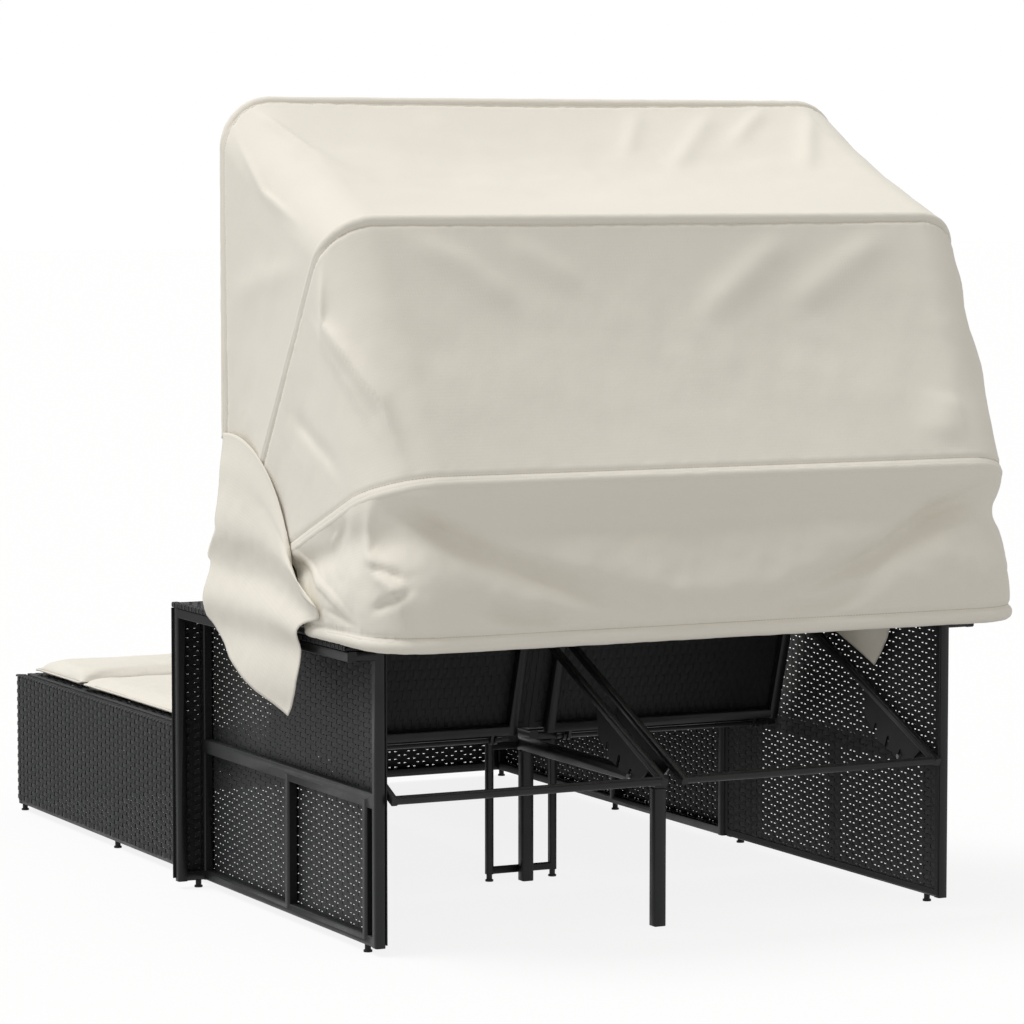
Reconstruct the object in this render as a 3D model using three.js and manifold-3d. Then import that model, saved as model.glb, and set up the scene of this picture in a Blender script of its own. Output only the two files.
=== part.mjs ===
// Outdoor daybed for two: woven arms and sides on a steel frame, two reclining backrests
// held by toothed struts, and a cloth canopy on three folding bows over a fixed hem bow.
// Millimetres, +Z up. The foot end looks towards -Y, +X is the sitter's left.
// The origin is on the floor, under the middle of the whole object.
import * as THREE from 'three';
import { mergeVertices } from 'three/addons/utils/BufferGeometryUtils.js';
import Module from 'manifold-3d';

const wasm = await Module();
wasm.setup();

// Whole bed
const bedLength = 2000;
const hemOverhang = 200; // how far the canopy reaches past the rear posts
const touchGap = 0.3; // between pieces that rest on or lie against each other
const cutRun = 5; // how far a cutting tool runs past what it cuts

// Steel tube, woven skins and feet
const tube = 20;
const tubeEasing = 2.5;
const weldStep = 0.3; // a rail is this much slimmer, each side, than the tubes it is welded to
const cane = 4;
const footRadius = 8.5;
const footHeight = 15;
const footFlange = 4;
const stemRadius = 6;

// Low part and seat deck
const lowSideOffset = 20; // outer face of a low side, out from the arm's inner face
const panelHeight = 312;
const middlePostSetback = 611; // from the foot end to the middle of the low sides' middle post
const skinLift = 5; // the skins stop this far above the frame's underside
const ledgeWidth = 40;
const ledgeThickness = 4;
const deckHalfGap = 13.5; // half the gap between the two seat frames
const caneLap = 14; // how far a woven deck laps onto its frame

// Arms
const armHalfWidth = 600; // from the middle of the bed to the inner face of the arm
const armLength = 870;
const armHeight = 587;
const armTopWidth = 85;
const armTopThickness = 12;
const armMiddleRailTop = 305;
const armMiddleRailHeight = 30;
const stileSetback = 422; // rear end to the middle of the arm's middle stile
const rearStileSetback = 55;
const rearFootSetback = 60;

// Centre support under the deck
const standHalfWidth = 80;
const standBar = 15;
const standOffset = 38; // the middle of the stand is this far in front of the hinge line
const legTube = 25;
const legClearance = 3;
const beamHeight = 25;
const beamRise = 11; // top of the beam above the rest pins' middle
const rearLegSetback = 57;

// Backrests
const hingeSetback = 615; // rear end to the hinge line
const backrestAngle = 73; // degrees above flat, as it stands
const backrestLength = 600;
const backrestStart = 12; // the lower rail begins this far from the hinge line
const backrestInnerGap = 20; // between the backrest and the middle edge of its seat frame
const backrestSideGap = 20; // between the backrest and the arm
const backSkinGap = 3; // from the bed's middle to the woven back and its cushion, which hide the strut's arm
const hingeRodRadius = 5;
const lugThickness = 6;
const lugRadius = 9;
const lugInset = 42;
const hingePinOverhang = 12;

// Struts that hold the backrests
const strutReach = 250; // from the hinge line to the strut's pivot
const strutWidth = 13;
const strutDepth = 15;
const strutInnerGap = 2.5; // from the middle edge of the seat frame to the strut's inner arm
const strutSideGap = 2.5; // between the strut's outer arm and the bed's arm
const strutTail = 128; // how far the strut runs on behind the tooth that it stands on
const strutPinRadius = 4;
const toothPlate = 4;
const toothPlateLead = 180.24; // how far the plate begins before that tooth
const toothPlateLength = 246;
const toothPinDepth = 63.7; // the rest pin's middle lies this far below the strut's
const toothShoulderRun = 34; // the plate's lower edge: run from its start, and depth
const toothShoulderDepth = 58;
const toothBellyRun = 92;
const toothBellyDepth = 76;
const toothRampRun = 142;
const toothRampDepth = 72.4;
const toothHeelRun = 223;
const toothHeelDepth = 46.4;
const toothPitch = 52;
const toothCount = 3;
const toothSlotWidth = 11;
const toothSlotTop = 47.4; // how far the slots' closed ends lie below the strut's middle
const toothSeatDepth = 60.9; // where the pin slides up out of the last slot
const toothTipDepth = 68.4;
const restPinRadius = 5;
const restPinSetback = 130; // rear end to the pins that carry the teeth
const restPinDrop = 21; // from the top of the arm's middle rail to the pins' middle
const restPinClearance = 4.5;

// Canopy bows
const pivotSetback = 300; // from the front of the arm
const pivotRise = 33; // of the bolts above the arm tops
const bowRadius = 8;
const bowInset = 3; // from the arm top's outer edge to the middle of the outermost bow
const bowPitch = 18; // between the bows' ends on the pivot bolt
const bowLug = 16.5;
const bowLugRadius = 11;
const joggleStart = 150;
const joggleEnd = 270;
const boltRadius = 4;
const boltHead = 4;
const boltHeadRadius = 8;
const bracketThickness = 4;
const bracketHalfLength = 17;
const bracketGap = 1;
const bows = {
  front: { reach: 970, lean: 0, plane: 0, corner: 90, sleeve: 316 },
  middle: { reach: 892, lean: 33.3, plane: 1, corner: 90, sleeve: 333 },
  seam: { reach: 777, lean: 69.7, plane: 2, corner: 125, sleeve: 346 },
};
const hemCorner = 105;
const hemFrontGap = 16; // from the bracket to the front ends of the hem bow

// Canopy cloth
const clothThickness = 2.4;
const clothGap = 3;
const panelSeamGap = 9.6; // between the rear panel's upper edge and the front panel
const skirtSeamGap = 19.2; // between the skirt's upper edge and the rear panel
const panelSag = 18;
const panelWave = 4;
const sideLean = 0.6; // share by which the folds down the sides turn to face sideways
const panelWaves = 5;
const skirtFold = 7;
const skirtFolds = 9;
const skirtDrawIn = 16;
const hemOpening = 338; // how far behind the pivot the hem bow's cloth begins
const flapFold = 4;
const flapFolds = 2.5;
const flapFrontReach = -31; // the flap's lower front corner and its tip, from the pivot
const flapTipReach = 347;
const outerFlapFrontDrop = 83;
const outerFlapDrop = 197;
const innerFlapFrontGap = 19.4; // over the line of the strut below it, at its front and at its tip
const innerFlapTipGap = 55.7;
const flapFrontBulge = 22;
const flapRearBulge = 80;
const flapClearance = 1.5;
const flapFoldGap = 6;
const flapTurnShare = 0.55; // share of its height over which the right flap slants in past the arm
const legShare = 0.62; // share of a bow's half outline that is corner and top
const topShare = 0.4;

// Cushions
const cushionGap = 3;
const footCushionLength = 300;
const footCushionHeight = 36;
const seatCushionHeight = 27;
const backCushionHeight = 42;
const backCushionStart = 40;
const cushionSeam = 12; // height of the edge seam above the cushion's underside
const cushionPull = 7; // how far the sides draw in between the corners
const cushionCorner = 30;
const crownShare = 0.28; // share of its height by which a cushion's top rises to the middle
const backCushionPull = 5;

// Places worked out from the sizes above
const frontY = -(bedLength + hemOverhang) / 2;
const rearY = frontY + bedLength;
const armFrontY = rearY - armLength;
const hingeY = rearY - hingeSetback;
const pivotY = armFrontY + pivotSetback;
const pivotHeight = armHeight + pivotRise;
const standY = hingeY - standOffset;
const restPinY = rearY - restPinSetback;
const restPinHeight = armMiddleRailTop - restPinDrop;
const beamTop = restPinHeight + beamRise;
const deckTop = panelHeight - cane;
const deckBottom = deckTop - tube;
const hingeHeight = deckTop - tube / 2;
const lowHalfWidth = armHalfWidth + lowSideOffset;
const lowInner = lowHalfWidth - cane - tube;
const deckOuter = lowInner - touchGap;
const backrestInner = deckHalfGap + backrestInnerGap;
const backrestOuter = armHalfWidth - backrestSideGap;
const strutInner = deckHalfGap + strutInnerGap;
const strutOuter = armHalfWidth - strutSideGap;
const deckFrontY = frontY + cane + tube + touchGap;
const deckRearY = hingeY - lugRadius - tube + 2 * tubeEasing;
const armTopUnder = armHeight - armTopThickness;
const postInner = armHalfWidth + cane;
const postOuter = postInner + tube;
const armOuter = armHalfWidth + armTopWidth;
const bowHalfWidth = armOuter - bowInset;
const middleRailUnder = armMiddleRailTop - armMiddleRailHeight;
const clothLift = bowRadius + clothGap + clothThickness / 2;
const hemZ = armHeight + touchGap + bowRadius;
const hemRearY = -frontY - clothLift - clothThickness / 2;

// Finishes
const steelPaint = new THREE.MeshStandardMaterial({ color: 0x1c1d1e, roughness: 0.45, metalness: 0.4 });
const caneFinish = new THREE.MeshStandardMaterial({ color: 0x2a2b2e, roughness: 0.5, metalness: 0 });
const plasticFinish = new THREE.MeshStandardMaterial({ color: 0x151515, roughness: 0.6, metalness: 0 });
const zincFinish = new THREE.MeshStandardMaterial({ color: 0x8d8f92, roughness: 0.35, metalness: 0.9 });
const canopyFinish = new THREE.MeshStandardMaterial({ color: 0xdedbd0, roughness: 0.9, metalness: 0 });
const cushionFinish = new THREE.MeshStandardMaterial({ color: 0xe8e4d8, roughness: 0.95, metalness: 0 });

const model = new THREE.Group();

function addPiece(name, geometry, material, parent = model) {
  const mesh = new THREE.Mesh(geometry, material);
  mesh.name = name;
  parent.add(mesh);
  return mesh;
}

// The left piece is drawn, and the right one is its mirror image.
function addPair(name, geometry, material, leftParent = model, rightParent = model) {
  addPiece(`${name}_left`, geometry, material, leftParent);
  addPiece(`${name}_right`, mirrored(geometry), material, rightParent);
}

function mirrored(geometry) {
  const copy = geometry.index ? geometry.toNonIndexed() : geometry.clone();
  const place = copy.getAttribute('position');
  const flipped = new Float32Array(place.count * 3);
  for (let i = 0; i < place.count; i += 3) {
    for (let corner = 0; corner < 3; corner += 1) {
      const from = i + 2 - corner;
      flipped[3 * (i + corner)] = -place.getX(from);
      flipped[3 * (i + corner) + 1] = place.getY(from);
      flipped[3 * (i + corner) + 2] = place.getZ(from);
    }
  }
  const result = new THREE.BufferGeometry();
  result.setAttribute('position', new THREE.BufferAttribute(flipped, 3));
  return finished(result);
}

function finished(geometry) {
  geometry.deleteAttribute('normal');
  geometry.deleteAttribute('uv');
  const merged = mergeVertices(geometry);
  merged.computeVertexNormals();
  return merged;
}

function toSolid(geometry) {
  const bare = geometry.clone();
  bare.deleteAttribute('normal');
  bare.deleteAttribute('uv');
  const merged = mergeVertices(bare);
  const mesh = new wasm.Mesh({
    numProp: 3,
    vertProperties: new Float32Array(merged.getAttribute('position').array),
    triVerts: new Uint32Array(merged.index.array),
  });
  return new wasm.Manifold(mesh);
}

function toGeometry(solid) {
  const mesh = solid.getMesh();
  const geometry = new THREE.BufferGeometry();
  geometry.setAttribute('position', new THREE.BufferAttribute(new Float32Array(mesh.vertProperties), 3));
  geometry.setIndex(new THREE.BufferAttribute(new Uint32Array(mesh.triVerts), 1));
  geometry.computeVertexNormals();
  return geometry;
}

function join(pieces) {
  return toGeometry(pieces.map(toSolid).reduce((whole, piece) => whole.add(piece)));
}

function cut(geometry, tools) {
  return toGeometry(tools.map(toSolid).reduce((whole, tool) => whole.subtract(tool), toSolid(geometry)));
}

// A plain box between two corners.
function block(low, high) {
  const geometry = new THREE.BoxGeometry(high[0] - low[0], high[1] - low[1], high[2] - low[2]);
  geometry.translate((high[0] + low[0]) / 2, (high[1] + low[1]) / 2, (high[2] + low[2]) / 2);
  return geometry;
}

// A straight square tube that fills the box between two corners, its long edges eased.
function bar(low, high, easing = tubeEasing) {
  const size = high.map((value, i) => value - low[i]);
  const along = size.indexOf(Math.max(...size));
  const first = (along + 1) % 3;
  const second = (along + 2) % 3;
  const section = [
    [low[first] + easing, low[second]],
    [high[first] - easing, low[second]],
    [high[first], low[second] + easing],
    [high[first], high[second] - easing],
    [high[first] - easing, high[second]],
    [low[first] + easing, high[second]],
    [low[first], high[second] - easing],
    [low[first], low[second] + easing],
  ];
  const places = [];
  for (const end of [low[along], high[along]]) {
    for (const [p, q] of section) {
      const place = [0, 0, 0];
      place[first] = p;
      place[second] = q;
      place[along] = end;
      places.push(...place);
    }
  }
  const sides = section.length;
  const faces = [];
  for (let i = 0; i < sides; i += 1) {
    const next = (i + 1) % sides;
    faces.push(i, next, sides + next, i, sides + next, sides + i);
    if (i > 1) {
      faces.push(0, i, i - 1, sides, sides + i - 1, sides + i);
    }
  }
  const geometry = new THREE.BufferGeometry();
  geometry.setAttribute('position', new THREE.BufferAttribute(new Float32Array(places), 3));
  geometry.setIndex(faces);
  geometry.computeVertexNormals();
  return geometry;
}

// A rail between two tubes, slimmer by a weld step or two so that its faces lie below theirs.
function rail(low, high, steps = 1) {
  const size = high.map((value, i) => value - low[i]);
  const along = size.indexOf(Math.max(...size));
  const inset = [0, 1, 2].map((i) => (i === along ? 0 : steps * weldStep));
  return bar(low.map((value, i) => value + inset[i]), high.map((value, i) => value - inset[i]));
}

// A round pin along X.
function pin(fromX, toX, y, z, radius, sides = 12) {
  const geometry = new THREE.CylinderGeometry(radius, radius, toX - fromX, sides);
  geometry.rotateZ(-Math.PI / 2);
  geometry.translate((fromX + toX) / 2, y, z);
  return geometry;
}

// A plate across X with round ends, from one point to another in the YZ plane.
function link(fromX, toX, start, end, radius) {
  const shape = new THREE.Shape();
  const turn = Math.atan2(end[1] - start[1], end[0] - start[0]);
  shape.absarc(end[0], end[1], radius, turn - Math.PI / 2, turn + Math.PI / 2);
  shape.absarc(start[0], start[1], radius, turn + Math.PI / 2, turn + 1.5 * Math.PI);
  return plateAcross(shape, fromX, toX);
}

// Turns an outline drawn as (y, z) into a plate between two X values.
function plateAcross(shape, fromX, toX) {
  const geometry = new THREE.ExtrudeGeometry(shape, { depth: toX - fromX, bevelEnabled: false, curveSegments: 5 });
  const swap = new THREE.Matrix4().makeBasis(
    new THREE.Vector3(0, 1, 0),
    new THREE.Vector3(0, 0, 1),
    new THREE.Vector3(1, 0, 0),
  );
  geometry.applyMatrix4(swap);
  geometry.translate(fromX, 0, 0);
  return geometry;
}

// Frame of the left arm: a wall of square tube, and an outrigger that carries the arm top.
function armFrame() {
  const near = armFrontY + cane + touchGap;
  const half = tube / 2;
  const outer = armOuter - cane;
  const inner = outer - tube;
  const floor = footHeight;
  const middleStile = rearY - stileSetback;
  const rearStile = rearY - rearStileSetback;
  const top = armTopUnder - touchGap;
  const middle = armMiddleRailTop - armMiddleRailHeight / 2;
  return join([
    bar([postInner, near, floor], [postOuter, near + tube, top]),
    bar([postInner, rearY - tube, floor], [postOuter, rearY, top]),
    rail([postInner, near + half, floor], [postOuter, rearY - half, floor + tube]),
    rail([postInner, near + half, middleRailUnder], [postOuter, rearY - half, armMiddleRailTop]),
    rail([postInner, near + half, top - tube], [postOuter, rearY - half, top]),
    bar([postInner, middleStile - half, floor + half], [postOuter, middleStile + half, middle]),
    bar([postInner, rearStile - half, floor + half], [postOuter, rearStile + half, middle]),
    bar([inner, near, floor], [outer, near + tube, top]),
    rail([inner, near + half, top - tube], [outer, rearY, top]),
    rail([postInner + half, near, floor], [outer - half, near + tube, floor + tube], 2),
    rail([postInner + half, near, top - tube], [outer - half, near + tube, top], 2),
    rail([postInner + half, rearY - tube, top - tube], [outer - half, rearY, top], 2),
  ]);
}

function armInnerSkin() {
  const near = armFrontY + cane + touchGap;
  const low = [armHalfWidth, near, footHeight + skinLift];
  const high = [postInner - touchGap, rearY, armTopUnder - touchGap];
  const hole = pin(armHalfWidth - cutRun, postInner + cutRun, restPinY, restPinHeight, restPinRadius + touchGap);
  return cut(block(low, high), [hole]);
}

function armFrontSkin() {
  return block([armHalfWidth, armFrontY, footHeight + skinLift], [armOuter, armFrontY + cane, armTopUnder - touchGap]);
}

function armTopSkin() {
  return bar([armHalfWidth, armFrontY, armTopUnder], [armOuter, rearY, armHeight], tubeEasing);
}

// Frame of a low side: rails, three posts and the ledge that the seat frame lies on.
function lowSideFrame() {
  const inner = lowInner;
  const outer = inner + tube;
  const half = tube / 2;
  const near = frontY + cane + touchGap;
  const far = armFrontY - touchGap;
  const middle = frontY + middlePostSetback;
  const floor = footHeight;
  return join([
    bar([inner, near, floor], [outer, near + tube, deckTop]),
    bar([inner, middle - half, floor + half], [outer, middle + half, deckTop - half]),
    bar([inner, far - tube, floor], [outer, far, deckTop]),
    rail([inner, near + half, floor], [outer, far - half, floor + tube]),
    rail([inner, near + half, deckBottom], [outer, far - half, deckTop]),
    block(
      [outer - ledgeWidth, deckFrontY + tube, deckBottom - touchGap - ledgeThickness],
      [outer - tubeEasing, far - tube, deckBottom - touchGap],
    ),
    block(
      [outer - half, deckFrontY + tube, deckBottom - touchGap - ledgeThickness],
      [outer - tubeEasing, far - tube, deckBottom + half],
    ),
  ]);
}

// A low side's skin, which also covers the top of its rail.
function lowSideSkin() {
  const near = frontY + cane + touchGap;
  const far = armFrontY - touchGap;
  const face = lowHalfWidth - cane + touchGap;
  return join([
    block([face, near, footHeight + skinLift], [lowHalfWidth, far, panelHeight]),
    block([lowInner, near, deckTop + touchGap], [lowHalfWidth, far, panelHeight]),
  ]);
}

function footEndFrame() {
  const side = lowInner - touchGap;
  const near = frontY + cane + touchGap;
  const floor = footHeight;
  const half = tube / 2;
  return join([
    rail([-side, near, floor], [side, near + tube, floor + tube]),
    rail([-side, near, deckBottom], [side, near + tube, deckTop]),
    bar([-side, near, floor + half], [tube - side, near + tube, deckTop - half]),
    bar([side - tube, near, floor + half], [side, near + tube, deckTop - half]),
    block(
      [-side, near + half, deckBottom - touchGap - ledgeThickness],
      [side, near + ledgeWidth, deckBottom - touchGap],
    ),
    block(
      [-side, near + tubeEasing, deckBottom - touchGap - ledgeThickness],
      [side, near + half, deckBottom + half],
    ),
  ]);
}

function footEndSkin() {
  const side = lowInner - touchGap;
  return join([
    block([-lowHalfWidth, frontY, footHeight + skinLift], [lowHalfWidth, frontY + cane, panelHeight]),
    block([-side, frontY, deckTop + touchGap], [side, frontY + cane + tube, panelHeight]),
  ]);
}

// One of the two seat frames, with the lugs that carry its backrest's hinge rod.
function seatFrame() {
  const half = tube / 2;
  const middle = (deckFrontY + deckRearY) / 2;
  const lugs = lugPlaces().map((x) => cut(
    link(x, x + lugThickness, [deckRearY - half, deckTop - half], [hingeY, hingeHeight], lugRadius),
    [pin(x - cutRun, x + lugThickness + cutRun, hingeY, hingeHeight, hingeRodRadius + touchGap)],
  ));
  return join([
    bar([deckHalfGap, deckFrontY, deckBottom], [deckHalfGap + tube, deckRearY, deckTop]),
    bar([deckOuter - tube, deckFrontY, deckBottom], [deckOuter, deckRearY, deckTop]),
    rail([deckHalfGap + half, deckFrontY, deckBottom], [deckOuter - half, deckFrontY + tube, deckTop]),
    rail([deckHalfGap + half, deckRearY - tube, deckBottom], [deckOuter - half, deckRearY, deckTop]),
    rail([deckHalfGap + half, middle - half, deckBottom], [deckOuter - half, middle + half, deckTop]),
    ...lugs,
  ]);
}

// Inner face of each hinge lug of the seat frame.
function lugPlaces() {
  return [backrestInner + lugInset, backrestOuter - lugInset - lugThickness];
}

function seatSkin() {
  const edge = tube - caneLap;
  return block(
    [deckHalfGap, deckFrontY, deckTop + touchGap],
    [deckOuter, deckRearY - edge, panelHeight],
  );
}

function hingeRod() {
  const [inner, outer] = lugPlaces();
  return pin(
    inner - hingePinOverhang,
    outer + lugThickness + hingePinOverhang,
    hingeY,
    hingeHeight,
    hingeRodRadius,
  );
}

// Rectangular stand that carries the inner corners of both seat frames.
function centreStand() {
  const half = standBar / 2;
  const near = standY - half;
  const far = standY + half;
  const top = deckBottom - touchGap;
  const feet = [-1, 1].map((side) => footAt(side * (standHalfWidth - half), standY));
  return join([
    bar([-standHalfWidth, near, footHeight], [standBar - standHalfWidth, far, top]),
    bar([standHalfWidth - standBar, near, footHeight], [standHalfWidth, far, top]),
    rail([half - standHalfWidth, near, top - standBar], [standHalfWidth - half, far, top]),
    rail([half - standHalfWidth, near, footHeight], [standHalfWidth - half, far, footHeight + standBar]),
    ...feet,
  ]);
}

function footAt(x, y) {
  const profile = [
    [0, 0],
    [footRadius, 0],
    [footRadius, footFlange],
    [stemRadius, footFlange],
    [stemRadius, footHeight + touchGap],
    [0, footHeight + touchGap],
  ];
  const geometry = new THREE.LatheGeometry(profile.map(([r, z]) => new THREE.Vector2(r, z)), 12);
  geometry.rotateX(Math.PI / 2);
  geometry.translate(x, y, 0);
  return geometry;
}

// A levelling foot under a square tube, clear of the tube's underside.
function foot(x, y) {
  const geometry = footAt(0, 0);
  const squash = (footHeight - touchGap) / (footHeight + touchGap);
  geometry.scale(1, 1, squash);
  geometry.translate(x, y, 0);
  return finished(geometry);
}

function centreBeam() {
  const half = legTube / 2;
  const near = standY + standBar / 2 + touchGap;
  const far = rearY - rearLegSetback + half;
  const body = bar([-half, near, beamTop - beamHeight], [half, far, beamTop]);
  const hole = pin(-legTube, legTube, restPinY, restPinHeight, restPinRadius + touchGap);
  return cut(body, [hole]);
}

function centreLeg(y) {
  const half = legTube / 2;
  return bar([-half, y - half, 0], [half, y + half, beamTop - beamHeight - touchGap]);
}

function centreRestPin() {
  const reach = strutInner + strutWidth - touchGap;
  return pin(-reach, reach, restPinY, restPinHeight, restPinRadius);
}

function sideRestPin() {
  const start = strutOuter - strutWidth + touchGap;
  const end = postInner + tube / 2;
  return pin(start, end, restPinY, restPinHeight, restPinRadius);
}

// The pin's blind hole in the arm's middle rail.
function restPinPocket() {
  const end = postInner + tube / 2 + touchGap;
  return pin(postInner - cutRun, end, restPinY, restPinHeight, restPinRadius + touchGap);
}

// A backrest lies flat here, from the hinge line towards +Y; its group turns it up.
function backrestFrame() {
  const half = tube / 2;
  const low = -half;
  const start = backrestStart;
  const end = backrestLength;
  const frame = join([
    bar([backrestInner, start, low], [backrestInner + tube, end, half]),
    bar([backrestOuter - tube, start, low], [backrestOuter, end, half]),
    rail([backrestInner + half, start, low], [backrestOuter - half, start + tube, half]),
    rail([backrestInner + half, end - tube, low], [backrestOuter - half, end, half]),
    pin(strutInner + touchGap, backrestInner + half, strutReach, 0, strutPinRadius),
    pin(backrestOuter - half, strutOuter - touchGap, strutReach, 0, strutPinRadius),
    ...knucklePlaces().map((x) => link(x, x + lugThickness, [start + half, 0], [0, 0], lugRadius)),
  ]);
  const bore = pin(backrestInner, backrestOuter, 0, 0, hingeRodRadius + touchGap);
  return cut(frame, [bore]);
}

// The backrest's knuckles stand just inside the seat frame's lugs.
function knucklePlaces() {
  const [inner, outer] = lugPlaces();
  return [inner + lugThickness + restPinClearance, outer - lugThickness - restPinClearance];
}

function backrestSkin() {
  const half = tube / 2;
  return block(
    [backSkinGap, backrestStart + tube - caneLap, half + touchGap],
    [backrestOuter, backrestLength, half + cane],
  );
}

// A strut lies flat here too: two arms from the pivot, a cross bar and two toothed plates.
function strut() {
  const half = strutWidth / 2;
  const depth = strutDepth / 2;
  const tips = [[strutInner, strutInner + strutWidth], [strutOuter - strutWidth, strutOuter]];
  const strutLength = firstTooth() + strutTail;
  const arms = tips.map(([from, to]) => bar([from, 0, -depth], [to, strutLength, depth], tubeEasing / 2));
  const ends = tips.map(([from, to]) => pin(from, to, 0, 0, depth));
  const plates = tips.map(([from]) => toothedPlate(from + half - toothPlate / 2));
  const cross = rail([strutInner + half, strutLength - strutDepth, -depth], [strutOuter - half, strutLength, depth]);
  const bore = pin(0, strutOuter + cutRun, 0, 0, strutPinRadius + touchGap);
  return cut(join([...arms, ...ends, ...plates, cross]), [bore]);
}

function toothedPlate(x) {
  const halfSlot = toothSlotWidth / 2;
  const outline = [
    [0, strutDepth / 2 - tubeEasing],
    [toothShoulderRun, toothShoulderDepth],
    [toothBellyRun, toothBellyDepth],
    [toothRampRun, toothRampDepth],
    [toothPlateLead - halfSlot, toothSeatDepth],
    [toothPlateLead + halfSlot, toothTipDepth],
    [toothHeelRun, toothHeelDepth],
    [toothPlateLength, strutDepth / 2 - tubeEasing],
  ];
  const start = firstTooth() - toothPlateLead;
  const plate = plateAcross(
    new THREE.Shape(outline.map(([run, depth]) => new THREE.Vector2(start + run, -depth))),
    x,
    x + toothPlate,
  );
  const slots = Array.from({ length: toothCount }, (_, i) => {
    const middle = firstTooth() - i * toothPitch;
    const top = -toothSlotTop - halfSlot;
    return link(x - cutRun, x + toothPlate + cutRun, [middle, top], [middle, top - toothBellyDepth], halfSlot);
  });
  return cut(plate, slots);
}

// Where along the strut the tooth lies that stands on the rest pin.
function firstTooth() {
  return Math.sqrt(pinDistance() ** 2 - toothPinDepth ** 2);
}

// How far the strut slopes down from level, in radians, when that tooth stands on the pin.
function strutSlope() {
  const [y, z] = strutPivot();
  return Math.atan2(z - restPinHeight, restPinY - y) - Math.asin(toothPinDepth / pinDistance());
}

// From the strut's pivot to the rest pin.
function pinDistance() {
  const [y, z] = strutPivot();
  return Math.hypot(restPinY - y, z - restPinHeight);
}

// The strut's pivot as the backrest stands, as (y, z).
function strutPivot() {
  const turn = THREE.MathUtils.degToRad(backrestAngle);
  return [hingeY + strutReach * Math.cos(turn), hingeHeight + strutReach * Math.sin(turn)];
}

// Height of the strut's upper face as it stands, or of its line run on.
function strutTopAt(y) {
  const [startY, startZ] = strutPivot();
  const slope = strutSlope();
  return startZ - (y - startY) * Math.tan(slope) + strutDepth / (2 * Math.cos(slope));
}

// A curve through chosen points that keeps their own spacing.
class PointPath extends THREE.Curve {
  constructor(points) {
    super();
    this.points = points;
  }

  getPointAt(share, target = new THREE.Vector3()) {
    const at = share * (this.points.length - 1);
    const i = Math.min(Math.floor(at), this.points.length - 2);
    return target.lerpVectors(this.points[i], this.points[i + 1], at - i);
  }

  getTangentAt(share, target = new THREE.Vector3()) {
    const i = Math.round(share * (this.points.length - 1));
    const before = this.points[Math.max(i - 1, 0)];
    const after = this.points[Math.min(i + 1, this.points.length - 1)];
    return target.subVectors(after, before).normalize();
  }
}

function roundBar(points, radius, sides = 8) {
  const section = new THREE.Shape();
  for (let i = 0; i < sides; i += 1) {
    const turn = (2 * Math.PI * i) / sides;
    const at = [radius * Math.cos(turn), radius * Math.sin(turn)];
    if (i === 0) {
      section.moveTo(...at);
    } else {
      section.lineTo(...at);
    }
  }
  section.closePath();
  const path = new PointPath(points);
  return new THREE.ExtrudeGeometry(section, { steps: points.length - 1, extrudePath: path, bevelEnabled: false });
}

// Half of a bow's line from its end on the bolt to its corner, as (x, distance from the pivot).
function bowLeg(bow) {
  const foot = bowHalfWidth - bow.plane * bowPitch;
  const points = [[foot, 0], [foot, joggleStart]];
  const bends = 4;
  for (let i = 1; i <= bends; i += 1) {
    const share = i / bends;
    const ease = share * share * (3 - 2 * share);
    points.push([foot + (bowHalfWidth - foot) * ease, joggleStart + (joggleEnd - joggleStart) * share]);
  }
  points.push([bowHalfWidth, (joggleEnd + bow.reach - bow.corner) / 2]);
  return points;
}

// The round corner from the leg to the top bar.
function cornerPoints(reach, corner, steps = 5) {
  const points = [];
  for (let i = 0; i <= steps; i += 1) {
    const turn = (Math.PI / 2) * (i / steps);
    points.push([
      bowHalfWidth - corner + corner * Math.cos(turn),
      reach - corner + corner * Math.sin(turn),
    ]);
  }
  return points;
}

function bow(settings) {
  const half = [...bowLeg(settings), ...cornerPoints(settings.reach, settings.corner)];
  const other = half.map(([x, r]) => [-x, r]).reverse();
  const points = [...half, ...other].map(([x, r]) => new THREE.Vector3(x, 0, r));
  const foot = bowHalfWidth - settings.plane * bowPitch;
  const lugs = [-foot, foot].map((x) => pin(x - bowLug / 2, x + bowLug / 2, 0, 0, bowLugRadius));
  const bore = pin(-bowHalfWidth - bowLug, bowHalfWidth + bowLug, 0, 0, boltRadius + touchGap);
  const geometry = cut(join([roundBar(points, bowRadius), ...lugs]), [bore]);
  geometry.rotateX(-THREE.MathUtils.degToRad(settings.lean));
  geometry.translate(0, pivotY, pivotHeight);
  return geometry;
}

// The hem bow lies on the arm tops and runs round behind the bed.
function hemBow() {
  const start = pivotY + bracketHalfLength + hemFrontGap;
  const side = [[bowHalfWidth, start], [bowHalfWidth, (start + hemRearY) / 2]];
  const half = [...side, ...cornerPoints(hemRearY, hemCorner)];
  const other = half.map(([x, y]) => [-x, y]).reverse();
  const points = [...half, ...other].map(([x, y]) => new THREE.Vector3(x, y, hemZ));
  return finished(roundBar(points, bowRadius));
}

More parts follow.
